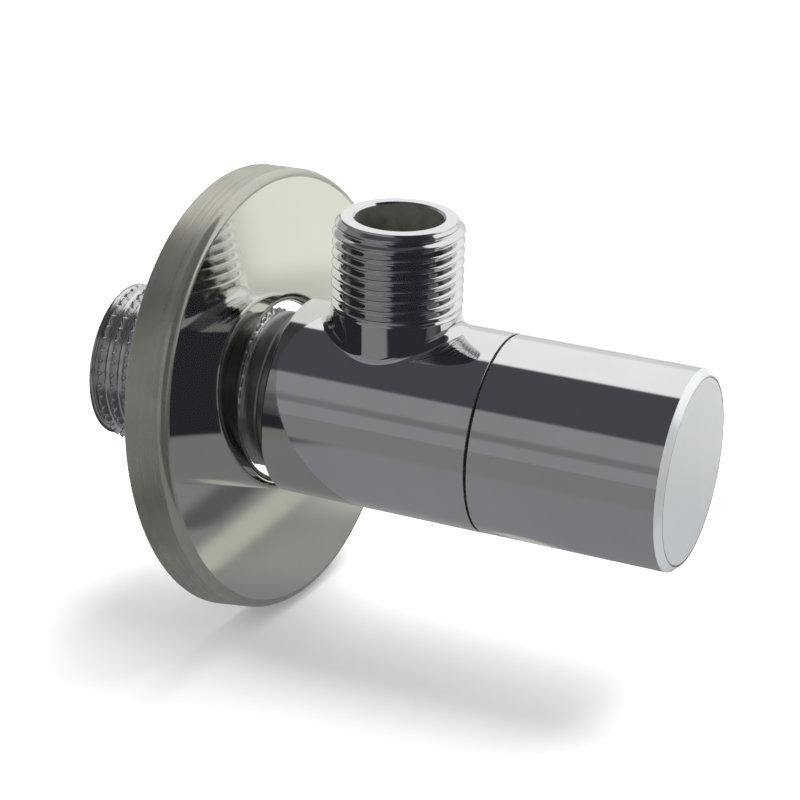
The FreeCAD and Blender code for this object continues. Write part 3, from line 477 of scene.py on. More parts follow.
def add_piece(name, patches, materials, body, node):
    """A finished piece that rides on a body and stands for a node of the frame."""
    piece = add_object(name, patches, materials)
    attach(piece, body)
    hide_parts(node)


def thread_wave(turns):
    """A rounded triangle wave: 0 at the crest and 1 at the root, from the number of turns.

    It is the arc sine of most of the cosine, brought to run from 0 to 1.
    """
    sharpness = 0.93
    swing = np.arcsin(sharpness * np.cos(2 * math.pi * turns)) / math.asin(sharpness)
    return (1 - swing) / 2


def smooth_step(value, low, high):
    """0 below low, 1 above high, and an even curve between."""
    share = np.clip((value - low) / (high - low), 0.0, 1.0)
    return share * share * (3 - 2 * share)


# Procedural finishes

def new_material(name, base, roughness, metallic=1.0):
    """A material with its shader's plain values."""
    material = bpy.data.materials.new(name)
    material.use_nodes = True
    shader = material.node_tree.nodes["Principled BSDF"]
    shader.inputs["Base Color"].default_value = (*base, 1.0)
    shader.inputs["Metallic"].default_value = metallic
    shader.inputs["Roughness"].default_value = roughness
    return material, shader


def new_nodes(tree, *kinds):
    """New shader nodes of the given kinds, in order."""
    return [tree.nodes.new("ShaderNode" + kind) for kind in kinds]


def join_nodes(tree, *pairs):
    """Links each pair's output to its input."""
    for output, socket in pairs:
        tree.links.new(output, socket)


def bare_material(name):
    """A material with an empty node tree, and that tree."""
    material = bpy.data.materials.new(name)
    material.use_nodes = True
    material.node_tree.nodes.clear()
    return material, material.node_tree


def add_noise(material, scale, detail=3.0, stretch=(1, 1, 1), turn=(0, 0, 0), distortion=0.0):
    """Noise on object coordinates, first turned into the piece's own directions and then stretched."""
    coordinates, mapping, noise = new_nodes(material.node_tree, "TexCoord", "Mapping", "TexNoise")
    mapping.vector_type = "TEXTURE"
    mapping.inputs["Rotation"].default_value = turn
    mapping.inputs["Scale"].default_value = [1 / part for part in stretch]
    noise.inputs["Scale"].default_value = scale
    noise.inputs["Detail"].default_value = detail
    noise.inputs["Distortion"].default_value = distortion
    join_nodes(material.node_tree, (coordinates.outputs["Object"], mapping.inputs["Vector"]),
               (mapping.outputs["Vector"], noise.inputs["Vector"]))
    return noise.outputs["Fac"]


NOISE_RANGE = (0.3, 0.7)        # part of the noise over which colour and roughness change


def vary(material, shader, colour_noise, gloss_noise, tones, gloss):
    """Colour and roughness that go with noise from one share of their own value to another."""
    ramp, spread = new_nodes(material.node_tree, "ValToRGB", "MapRange")
    base = tuple(shader.inputs["Base Color"].default_value)[:3]
    for stop, position, tone in zip(ramp.color_ramp.elements, NOISE_RANGE, tones):
        stop.position = position
        stop.color = (*(min(1.0, part * tone) for part in base), 1.0)
    roughness = shader.inputs["Roughness"].default_value
    spread.inputs["From Min"].default_value, spread.inputs["From Max"].default_value = NOISE_RANGE
    spread.inputs["To Min"].default_value = roughness * gloss[0]
    spread.inputs["To Max"].default_value = roughness * gloss[1]
    join_nodes(material.node_tree, (colour_noise, ramp.inputs["Fac"]),
               (ramp.outputs["Color"], shader.inputs["Base Color"]),
               (gloss_noise, spread.inputs["Value"]),
               (spread.outputs["Result"], shader.inputs["Roughness"]))


def add_bump(material, shader, factor, distance, strength=1.0):
    """Bump from the noise."""
    bump, = new_nodes(material.node_tree, "Bump")
    bump.inputs["Strength"].default_value = strength
    bump.inputs["Distance"].default_value = distance
    join_nodes(material.node_tree, (factor, bump.inputs["Height"]),
               (bump.outputs["Normal"], shader.inputs["Normal"]))


def polished(name, base, roughness=0.045):
    """Polished plate: a clear mirror with faint wiping marks and cloudy gloss."""
    material, shader = new_material(name, base, roughness)
    clouds = add_noise(material, scale=90, detail=4)
    vary(material, shader, clouds, clouds, tones=(0.965, 1.02), gloss=(0.75, 1.35))
    return material


def satin(name, base, roughness=0.3, metallic=0.4):
    """Satin plate: soft and pale from every side, with a faint grain."""
    material, shader = new_material(name, base, roughness, metallic)
    grain = add_noise(material, scale=70, detail=1)
    vary(material, shader, grain, grain, tones=(0.98, 1.01), gloss=(0.92, 1.1))
    return material


def polished_sheet(name, base, roughness=0.05):
    """Polished sheet: a mirror with long faint waves from the press."""
    material, shader = new_material(name, base, roughness)
    clouds = add_noise(material, scale=60, detail=3)
    vary(material, shader, clouds, clouds, tones=(0.97, 1.02), gloss=(0.8, 1.4))
    add_bump(material, shader, add_noise(material, scale=34, detail=1), distance=0.00002)
    return material


def brushed(name, base, turn, roughness=0.34):
    """Brushed sheet: fine lines that run round the plate's axis."""
    material, shader = new_material(name, base, roughness, 0.9)
    lines = add_noise(material, scale=40, detail=5, stretch=(1, 90, 1), turn=turn)
    patches = add_noise(material, scale=55, detail=3)
    vary(material, shader, patches, lines, tones=(0.7, 1.2), gloss=(0.7, 1.35))
    add_bump(material, shader, lines, distance=0.00002, strength=0.5)
    return material


def turned_metal(name, base, roughness=0.24):
    """Bare turned metal: fine rings across the axis and slight stains."""
    material, shader = new_material(name, base, roughness)
    rings = add_noise(material, scale=60, detail=4, stretch=(1, 60, 1))
    stains = add_noise(material, scale=160, detail=5)
    vary(material, shader, stains, rings, tones=(0.8, 1.1), gloss=(0.7, 1.5))
    add_bump(material, shader, rings, distance=0.00003, strength=0.4)
    return material


def dull_bore(name, base, roughness=0.38):
    """Unplated bore: dull, stained metal."""
    material, shader = new_material(name, base, roughness, 0.85)
    stains = add_noise(material, scale=320, detail=6, distortion=0.6)
    vary(material, shader, stains, stains, tones=(0.7, 1.15), gloss=(0.8, 1.3))
    add_bump(material, shader, stains, distance=0.00006, strength=0.5)
    return material


def moulded(name, base, roughness=0.45, scale=220.0, dark=0.9):
    """Moulded rubber or plastic, or fired ceramic: a matt skin with a fine grain."""
    material, shader = new_material(name, base, roughness, 0.0)
    grain = add_noise(material, scale, detail=5)
    vary(material, shader, grain, grain, tones=(dark, 1.06), gloss=(0.85, 1.2))
    add_bump(material, shader, grain, distance=0.00003, strength=0.5)
    return material


# Operators: one for each piece or group of like pieces, and one for the studio

class VALVE_OT_body(bpy.types.Operator):
    """Make the body: barrel, saddle, outlet neck and the crossing bores"""
    bl_idname = "valve.body"
    bl_label = "Body"

    def execute(self, context):
        settings = context.scene.valve
        body, outlet, finishes = settings.body, settings.outlet, settings.finishes
        barrel, neck, ball = body.width / 2, outlet.neck_width / 2, body.saddle_round
        port, chamber = outlet.port_bore / 2, body.chamber_bore / 2

        def ball_centre(t):
            """Centre of a ball that rolls in the corner: one radius off barrel and neck."""
            across = (neck + ball) * np.cos(t)
            height = np.sqrt((barrel + ball) ** 2 - across ** 2)
            return np.stack([across, -outlet.depth + (neck + ball) * np.sin(t), height], -1)

        def saddle_edge(t):
            """Where that ball touches the barrel, as angle and depth."""
            centre = ball_centre(t)
            return np.arctan2(centre[..., 0], centre[..., 2]), -centre[..., 1]

        def port_edge(t):
            """Where the port meets the chamber's wall, as angle and depth."""
            return np.arcsin(port * np.cos(t) / chamber), outlet.depth - port * np.sin(t)

        reach = body.window_reach
        outside, t = windowed_cylinder(
            barrel, 1, (body.back + body.back_round, outlet.depth - reach, outlet.depth + reach,
                        body.front - body.front_round), saddle_edge)
        centre = ball_centre(t)
        to_barrel = unit(centre * (-1, 0, -1))
        to_neck = -spokes(t, outlet_axis(outlet))[0]
        opening = np.arccos((to_barrel * to_neck).sum(-1))[:, None]
        share = np.linspace(0.0, 1.0, SADDLE_ROWS + 1)[:, None, None]
        arc = (np.sin((1 - share) * opening) * to_barrel
               + np.sin(share * opening) * to_neck) / np.sin(opening)
        saddle = (centre + ball * arc, -arc, 0)
        foot = centre + ball * to_neck
        collar = foot * (1, 1, 0) + (0, 0, outlet.low)
        wall = (np.stack([foot, collar]), -to_neck, 0)

        reach = port + body.port_margin
        inside, s = windowed_cylinder(
            chamber, -1, (body.seat, outlet.depth - reach, outlet.depth + reach, body.chamber_end),
            port_edge, 1)
        angle, depth = port_edge(s)
        mouth = chamber * spokes(angle, BARREL_AXIS)[0] + depth[:, None] * BARREL_AXIS[3]
        lip = mouth * (1, 1, 0) + (0, 0, outlet.low)
        passage = (np.stack([mouth, lip]), -spokes(s, outlet_axis(outlet))[0], 1)
        ledge = (np.stack([lip, collar]), np.array([0.0, 0.0, 1.0]), 1)

        rear = turned(rounded_path([
            (body.port_bore / 2, body.back), (barrel, body.back),
            (barrel, body.back + body.back_round)],
            (0, body.back_round, 0)))
        front = turned(rounded_path([
            (barrel, body.front - body.front_round), (barrel, body.front),
            (body.recess_bore / 2, body.front), (body.recess_bore / 2, body.ledge),
            (body.mouth_bore / 2, body.ledge), (body.mouth_bore / 2, body.thread_end),
            (body.thread_bore / 2, body.thread_end), (body.thread_bore / 2, body.chamber_end),
            (chamber, body.chamber_end)],
            (0, body.front_round, 0, 0, 0, 0, 0, 0, 0)))
        seat = turned(rounded_path([
            (chamber, body.seat), (body.port_bore / 2, body.seat), (body.port_bore / 2, body.back)]),
            finish=1)
        add_piece("forged_body",
                  outside + [saddle, wall, ledge, passage] + inside + [rear, front, seat],
                  [polished("Chrome on the body", finishes.chrome),
                   dull_bore("Body bores", finishes.raw_bore)], "valve", "valve_body")
        return {"FINISHED"}


class VALVE_OT_outlet(bpy.types.Operator):
    """Make the outlet's upright tube with its soft-looking plated thread"""
    bl_idname = "valve.outlet"
    bl_label = "Outlet"

    def execute(self, context):
        settings = context.scene.valve
        outlet, finishes = settings.outlet, settings.finishes
        axis = outlet_axis(outlet)
        neck, face, bore = outlet.neck_width / 2, outlet.face_width / 2, outlet.bore / 2
        # The thread's rows stop just below the end, and the last of them lie on the chamfer's cone
        last = outlet.high - outlet.end_round * 1.5
        height = np.linspace(outlet.low, last, OUTLET_ROWS)
        turns = ((height[:, None] - outlet.crest_height) / outlet.pitch
                 - (FULL_TURN - outlet.crest_angle) / (2 * math.pi))
        thread = outlet.crest_width / 2 - outlet.thread_depth * thread_wave(turns)
        fade = smooth_step(height, outlet.low, outlet.low + outlet.fade)[:, None]
        radius = neck + (thread - neck) * fade
        slope = (outlet.crest_width / 2 - face) / outlet.chamfer
        cone = face + (outlet.high - height[:, None]) * slope
        soft = np.sqrt((radius - cone) ** 2 + outlet.end_round ** 2)
        radius = (radius + cone - soft) / 2
        ending = smooth_step(height, last - outlet.end_round * 3, last)[:, None]
        radius = radius + (cone - radius) * ending
        edge = radius[-1, 0]
        end = turned(rounded_path([
            (edge, last), (edge - (outlet.high - last) / slope * 0.4, outlet.high),
            (bore + outlet.bore_round, outlet.high), (bore, outlet.high - outlet.bore_round)],
            (0, outlet.end_round, 0, 0)), axis, FULL_TURN)
        inside = turned(rounded_path([(bore, outlet.high - outlet.bore_round), (bore, outlet.low),
                                      (neck, outlet.low)]), axis, FULL_TURN, 1)
        add_piece("outlet_nipple", [waved(radius, height, FULL_TURN, axis), end, inside],
                  [polished("Chrome on the outlet", finishes.chrome, 0.06),
                   dull_bore("Outlet bore", finishes.raw_bore)], "valve", "outlet_tube")
        return {"FINISHED"}


class VALVE_OT_inlet(bpy.types.Operator):
    """Make the inlet's tube with its notched thread"""
    bl_idname = "valve.inlet"
    bl_label = "Inlet"

    def execute(self, context):
        settings = context.scene.valve
        inlet, body, finishes = settings.inlet, settings.body, settings.finishes
        crest, neck, lead, bore = (inlet.crest_width / 2, inlet.neck_width / 2, inlet.lead_width / 2,
                                   inlet.bore / 2)
        angles = full_circle(inlet.notches * NOTCH_COLUMNS)
        depth = np.linspace(body.back, inlet.end_round - inlet.reach, INLET_ROWS)
        turns = ((-depth[:, None] - inlet.crest_reach) / inlet.pitch
                 - (angles - inlet.crest_angle) / (2 * math.pi))
        beads = ((1 - np.cos(angles * inlet.notches)) / 2) ** inlet.notch_width
        groove = 1 - (1 - thread_wave(turns)) ** inlet.groove_breadth
        thread = np.minimum(crest - inlet.thread_depth * groove, crest - inlet.notch_depth * beads)
        start = 1 - smooth_step(depth, inlet.rise - inlet.pitch * inlet.run_in, inlet.rise)[:, None]
        radius = neck + (thread - neck) * start
        collar = smooth_step(depth, inlet.collar - inlet.collar_rise, inlet.collar)[:, None]
        radius = radius + (crest - radius) * collar
        cone = lead + np.maximum(depth[:, None] + inlet.reach - inlet.lead, 0.0)
        radius = np.minimum(radius, cone)
        radius[-1] = lead
        end = turned(rounded_path([
            (lead, inlet.end_round - inlet.reach), (lead, -inlet.reach),
            (bore + inlet.bore_round, -inlet.reach), (bore, inlet.bore_round - inlet.reach)],
            (0, inlet.end_round, 0, 0)), angles=angles)
        inside = turned(rounded_path([
            (bore, inlet.bore_round - inlet.reach), (bore, body.back - (bore - body.port_bore / 2)),
            (body.port_bore / 2, body.back), (neck, body.back)]), angles=angles, finish=1)
        bare = np.where(depth[:-1] > inlet.rise, 2, 0)[:, None]
        add_piece("inlet_nipple", [
            waved(radius, depth, angles, BARREL_AXIS, bare),
            (end[0], -end[1], 0), (inside[0], -inside[1], 1)],
            [polished("Chrome on the inlet", finishes.chrome, 0.16),
             dull_bore("Inlet bore", finishes.raw_bore),
             turned_metal("Inlet neck", finishes.neck, 0.3)], "valve", "inlet_tube")
        return {"FINISHED"}


class VALVE_OT_rosette(bpy.types.Operator):
    """Make the loose wall rosette with its mirror face and brushed rim"""
    bl_idname = "valve.rosette"
    bl_label = "Rosette"

    def execute(self, context):
        settings = context.scene.valve
        rosette, finishes = settings.rosette, settings.finishes
        outer, hole, sheet = rosette.width / 2, rosette.hole / 2, rosette.sheet
        face, edge, drawn = rosette.height, rosette.edge_round, rosette.hole_round
        shoulder = outer - rosette.taper
        path = rounded_path([
            (outer - sheet, 0), (outer, 0), (shoulder, face), (hole, face), (hole, face - drawn),
            (hole + sheet, face - drawn), (hole + sheet, face - sheet),
            (shoulder - sheet, face - sheet)],
            (0, sheet / 4, edge, drawn, 0, 0, drawn - sheet, edge - sheet), closed=True)
        finish = path_finishes((2, 3, 3, 0, 2, 2, 2, 2), (1, 1, 0, 0, 2, 2, 2, 2))
        axis = plate_axis(rosette)
        turn = Matrix(np.stack([axis[1], -axis[3], axis[2]], -1)).to_euler()
        add_piece("rosette_plate", [turned(path, axis, full_circle(ROSETTE_COLUMNS), finish)],
                  [polished_sheet("Polished rosette face", finishes.mirror),
                   brushed("Brushed rosette rim", finishes.brushed, turn),
                   turned_metal("Rosette's inside", finishes.steel, 0.4),
                   satin("Rosette's edge", finishes.edge, 0.18, 0.85)],
                  "rosette", "wall_rosette")
        return {"FINISHED"}


class VALVE_OT_knob(bpy.types.Operator):
    """Make the knob's sleeve with its keyed web, and its end disc"""
    bl_idname = "valve.knob"
    bl_label = "Knob"

    def execute(self, context):
        settings = context.scene.valve
        knob, finishes = settings.knob, settings.finishes
        outer, bore, web = knob.width / 2, knob.bore / 2, knob.web_bore / 2
        disc, seat_ring = knob.cap_bore / 2, knob.cap_bore / 2 - knob.cap_ledge
        half, key = knob.key_width / 2, web + knob.key_depth

        # One quarter: key wall, key floor, key wall and the arc to the next key. Corners come twice,
        # once with each wall's direction.
        wall_angle, floor_angle = math.asin(half / web), math.atan2(half, key)
        floor = np.linspace(-floor_angle, floor_angle, KEY_POINTS)
        arc = np.linspace(wall_angle, math.pi / 2 - wall_angle, ARC_POINTS)
        quarter = np.concatenate([[-wall_angle, -floor_angle], floor, [floor_angle, wall_angle], arc])
        reach = np.concatenate([[web, key / math.cos(floor_angle)], key / np.cos(floor),
                                [key / math.cos(floor_angle), web], np.full(len(arc), web)])
        facing = np.concatenate([np.full(2, math.pi / 2), np.full(KEY_POINTS, math.pi),
                                 np.full(2, -math.pi / 2), arc + math.pi])
        turns = np.arange(4)[:, None] * math.pi / 2
        angles = np.append((quarter + turns).ravel(), quarter[0] + 2 * math.pi)
        reach = np.append(np.tile(reach, 4), reach[0])
        facing = np.append((facing + turns).ravel(), facing[0])
        away = spokes(angles, BARREL_AXIS)[0]

        def keyed(depth):
            """The web's keyed outline at a depth."""
            return reach[:, None] * away + depth * BARREL_AXIS[3]

        def ring(radius, depth):
            """A circle at a depth, with a point in the direction of each of the outline's."""
            return radius * away + depth * BARREL_AXIS[3]

        forward = BARREL_AXIS[3]
        chrome = polished("Chrome on the knob", finishes.chrome)
        inside = turned_metal("Knob's inside", finishes.brass, 0.35)
        sleeve = turned(rounded_path([
            (bore, knob.web_low), (bore, knob.back), (outer, knob.back),
            (outer, knob.front - knob.chamfer),
            (outer - knob.chamfer, knob.front), (disc, knob.front), (disc, knob.cap_seat),
            (seat_ring, knob.cap_seat), (seat_ring, knob.web_top)],
            (0, 0, knob.edge_round, knob.edge_round, knob.edge_round, 0, 0, 0, 0)), angles=angles,
            finish=path_finishes((1, 1, 0, 2, 2, 0, 1, 1, 1), (1, 0, 0, 2, 0, 1, 1, 1, 1))[:-1])
        web_patches = [
            (np.stack([ring(seat_ring, knob.web_top), keyed(knob.web_top)]), forward, 1),
            (np.stack([keyed(knob.web_top), keyed(knob.web_low)]), spokes(facing, BARREL_AXIS)[0], 1),
            (np.stack([keyed(knob.web_low), ring(bore, knob.web_low)]), -forward, 1)]
        add_piece("knob_sleeve", [sleeve] + web_patches,
                  [chrome, inside, satin("Knob's front chamfer", finishes.satin, 0.2)],
                  "handle", "handle_knob")

        rim = disc - knob.cap_play
        groove = knob.cap_seat + knob.groove_low
        path = rounded_path([
            (0, knob.cap_seat + knob.recess_depth),
            (knob.recess_width / 2, knob.cap_seat + knob.recess_depth),
            (knob.recess_width / 2, knob.cap_seat), (rim, knob.cap_seat), (rim, groove),
            (knob.groove_root / 2, groove), (knob.groove_root / 2, groove + knob.groove_width),
            (rim, groove + knob.groove_width), (rim, knob.front), (0, knob.front)],
            (0, 0, 0, 0, 0, 0, 0, 0, knob.edge_round, 0))
        add_piece("knob_end", [turned(path)], [satin("Satin end disc", finishes.satin)],
                  "handle", "handle_cap")
        return {"FINISHED"}


class VALVE_OT_inner_finishes(bpy.types.Operator):
    """Give the headwork, seals, insert and screw their own finishes"""
    bl_idname = "valve.inner_finishes"
    bl_label = "Inner finishes"

    def execute(self, context):
        finishes = context.scene.valve.finishes
        brass = turned_metal("Turned brass", finishes.brass)
        steel = turned_metal("Plain steel", finishes.steel, 0.3)
        rubber = moulded("Seal rubber", finishes.rubber, 0.55)
        plastic = moulded("Ring plastic", finishes.plastic, 0.4)
        guide = moulded("Guide ring plastic", finishes.guide, 0.45)
        insert = moulded("Insert plastic", finishes.insert, 0.42, scale=180.0, dark=0.94)
        ceramic = moulded("Fired ceramic", finishes.ceramic, 0.25, scale=400.0, dark=0.96)
        groups = (
            (brass, ("headwork_housing", "spindle")),
            (steel, ("spindle_circlip", "handle_screw", "screw_washer")),
            (rubber, ("bonnet_oring", "spindle_oring_inner", "spindle_oring_outer", "seat_seal",
                      "cap_oring")),
            (plastic, ("slip_washer", "seat_seal_ring")),
            (guide, ("guide_ring",)),
            (insert, ("handle_insert",)),
            (ceramic, ("fixed_disc", "moving_disc")),
        )
        for material, names in groups:
            for name in names:
                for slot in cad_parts[name].material_slots:
                    slot.material = material
        return {"FINISHED"}


# Soft edges of the studio's panels, each from its start to its end. On the dome: degrees from -X over
# the top, or the share of the direction that points to the rear or the front.
SHELF, SHELF_TOP, CEILING = (11, 15), (18, 24), (43, 47)
SOFT_BOX, PALE_WALL, REAR_WALL = (104, 108), (158, 170), (0.55, 0.75)
FRONT_CLOTH, FRONT_CLOTH_TOP, FRONT_WALL = (0.1, 0.3), (94, 104), (0.88, 0.96)
# On the floor: metres from the valve's axis, along X or along Y
HALF_LENGTH, MAT_EDGE, FAR_OUT = 0.03, (0.055, 0.075), (0.15, 0.18)
DIM_LIGHT, TABLE_LIGHT, LIGHT_FRONT = (-0.005, 0.01), (0.022, 0.046), (-0.045, -0.02)
# The first pair is painted shadow: the rosette's shadow on the floor behind it
PAINTED_ROSETTE_SHADOW, DARK_LEFT = (0.005, 0.014), (0.015, 0.03)
# and degrees round a point, where the table and the cloth end
LEFT_CLOTH, TABLE_REAR, TABLE_LEFT = (165, 171), (25, 95), (90, 110)
SLOW_EDGE, SHARP_EDGE, LAST_EDGE = (12, 80), (39.5, 42.5), (55, 75)
# Two floor strips, the first of painted shade and the second pale: both ends, half the width and the
# blur
PAINTED_SHADE_STRIP = (0.022, -0.046), (0.042, -0.050), 0.002, 0.004
PALE_STRIP = (0.006, -0.033), (0.034, -0.0375), 0.0018, 0.0035
# How much of a panel shows: the dome's rear wall, the table's light near the mat's edge and far from
# it, the painted shadow of the rosette on the floor behind it, the strip of painted shade, and the
# table's sharp edge
REAR_SHARE, DIM_SHARE, TABLE_SHARE = 0.8, 0.12, 0.85
PAINTED_ROSETTE_SHADOW_SHARE, PAINTED_SHADE_STRIP_SHARE, SHARP_SHARE = 0.8, 0.6, 0.75
FAR_MIDDLE = -0.005             # where on Y the far floor's directions start


def laid_over(base, shade_on_top, share):
    """The base colours with a share of another colour over them."""
    return base + (np.array(shade_on_top) - base) * share[..., None]


def dome_glow(direction, studio):
    """Colour of the studio in a direction above the floor.

    Across the barrel it goes by the angle from -X over the top: a grey wall with a darker shelf, a
    dark ceiling, a wide soft box and the pale wall beyond it. Towards the front dark cloth hangs
    below the soft box, with a dim wall in its middle, and far round to the rear is a grey wall.
    """
    angle = np.degrees(np.arctan2(direction[..., 2], -direction[..., 0]))
    ahead = -direction[..., 1]
    glow = np.tile(np.array(studio.side_wall), (len(direction), 1))
    for shade_on_top, share in (
            (studio.shelf, smooth_step(angle, *SHELF) * (1 - smooth_step(angle, *SHELF_TOP))),
            (studio.ceiling, smooth_step(angle, *CEILING)),
            (studio.soft_box, smooth_step(angle, *SOFT_BOX)),
            (studio.pale_wall, smooth_step(angle, *PALE_WALL)),
            (studio.rear_wall, smooth_step(-ahead, *REAR_WALL) * REAR_SHARE),
            (studio.cloth,
             smooth_step(ahead, *FRONT_CLOTH) * (1 - smooth_step(angle, *FRONT_CLOTH_TOP))),
            (studio.front_wall, smooth_step(ahead, *FRONT_WALL))):
        glow = laid_over(glow, shade_on_top, share)
    return glow


def strip_share(place, first, last, half_width, blur):
    """1 within half a width of the line between two floor points, 0 beyond the blur round it."""
    first, along = np.array(first), np.array(last) - np.array(first)
    way = np.clip(((place - first) @ along) / (along @ along), 0.0, 1.0)
    gap = np.linalg.norm(place - first - way[:, None] * along, axis=1)
    return 1 - smooth_step(gap, half_width, half_width + blur)


def floor_glow(place, studio):
    """Colour of the floor where the metal sees it.

    A grey mat lies under the valve, and behind the rosette the rosette's shadow is painted dark on
    it. Beyond it the floor goes by its direction: a pale table on the right, which also lights the
    mat's edge, grey behind, and dark cloth on the camera's side. The table's light falls off slowly
    towards the cloth near the mat and ends at an edge farther out. A pale strip and a dark strip of
    painted shade lie in front of the rosette.
    """
    place = place[:, :2]
    x, y = place[:, 0], place[:, 1]
    reach = np.hypot(x, np.maximum(np.abs(y + HALF_LENGTH) - HALF_LENGTH, 0.0))
    front_angle = np.degrees(np.arctan2(y + 2 * HALF_LENGTH, x)) % 360
    left_cloth = smooth_step(front_angle, *LEFT_CLOTH)
    lit = DIM_SHARE * smooth_step(x, *DIM_LIGHT) + TABLE_SHARE * smooth_step(x, *TABLE_LIGHT)
    near = np.tile(np.array(studio.mat), (len(x), 1))
    for shade_on_top, share in (
            (studio.table, lit * smooth_step(y, *LIGHT_FRONT)),
            # Painted shadow: the rosette's shadow on the floor behind it, in the cloth's colour
            (studio.cloth, PAINTED_ROSETTE_SHADOW_SHARE * smooth_step(y, *PAINTED_ROSETTE_SHADOW)),
            (studio.cloth, left_cloth * smooth_step(-x, *DARK_LEFT)),
            # Painted shade: a dark strip on the floor in front of the rosette, in the cloth's colour
            (studio.cloth, PAINTED_SHADE_STRIP_SHARE * strip_share(place, *PAINTED_SHADE_STRIP)),
            (studio.strip, strip_share(place, *PALE_STRIP))):
        near = laid_over(near, shade_on_top, share)
    angle = np.degrees(np.arctan2(y - FAR_MIDDLE, x))
    table_end = np.where(angle > 0, np.array([TABLE_REAR]).T, np.array([TABLE_LEFT]).T)
    far = laid_over(np.tile(np.array(studio.rear_wall), (len(x), 1)), studio.table,
                    1 - smooth_step(np.abs(angle), *table_end))
    slow = 1 - smooth_step(-angle, *SLOW_EDGE)
    sharp = (1 - SHARP_SHARE * smooth_step(-angle, *SHARP_EDGE)
             - (1 - SHARP_SHARE) * smooth_step(-angle, *LAST_EDGE))
    lit = slow + (sharp - slow) * smooth_step(reach, *FAR_OUT)
    far = laid_over(far, studio.cloth, np.where(x < 0, left_cloth, 1 - lit))
    return near + (far - near) * smooth_step(reach, *MAT_EDGE)[:, None]


def glow_attribute(made, glow):
    """Keeps the studio's colours on the mesh, for what the metal sees of it."""
    attribute = made.data.attributes.new("glow", "FLOAT_COLOR", "POINT")
    colours = np.hstack([glow, np.ones((len(glow), 1))])
    attribute.data.foreach_set("color", colours.ravel().astype(np.float32))


def mesh_points(made):
    """The object's vertices as an array."""
    points = np.empty(len(made.data.vertices) * 3)
    made.data.vertices.foreach_get("co", points)
    return points.reshape(-1, 3)


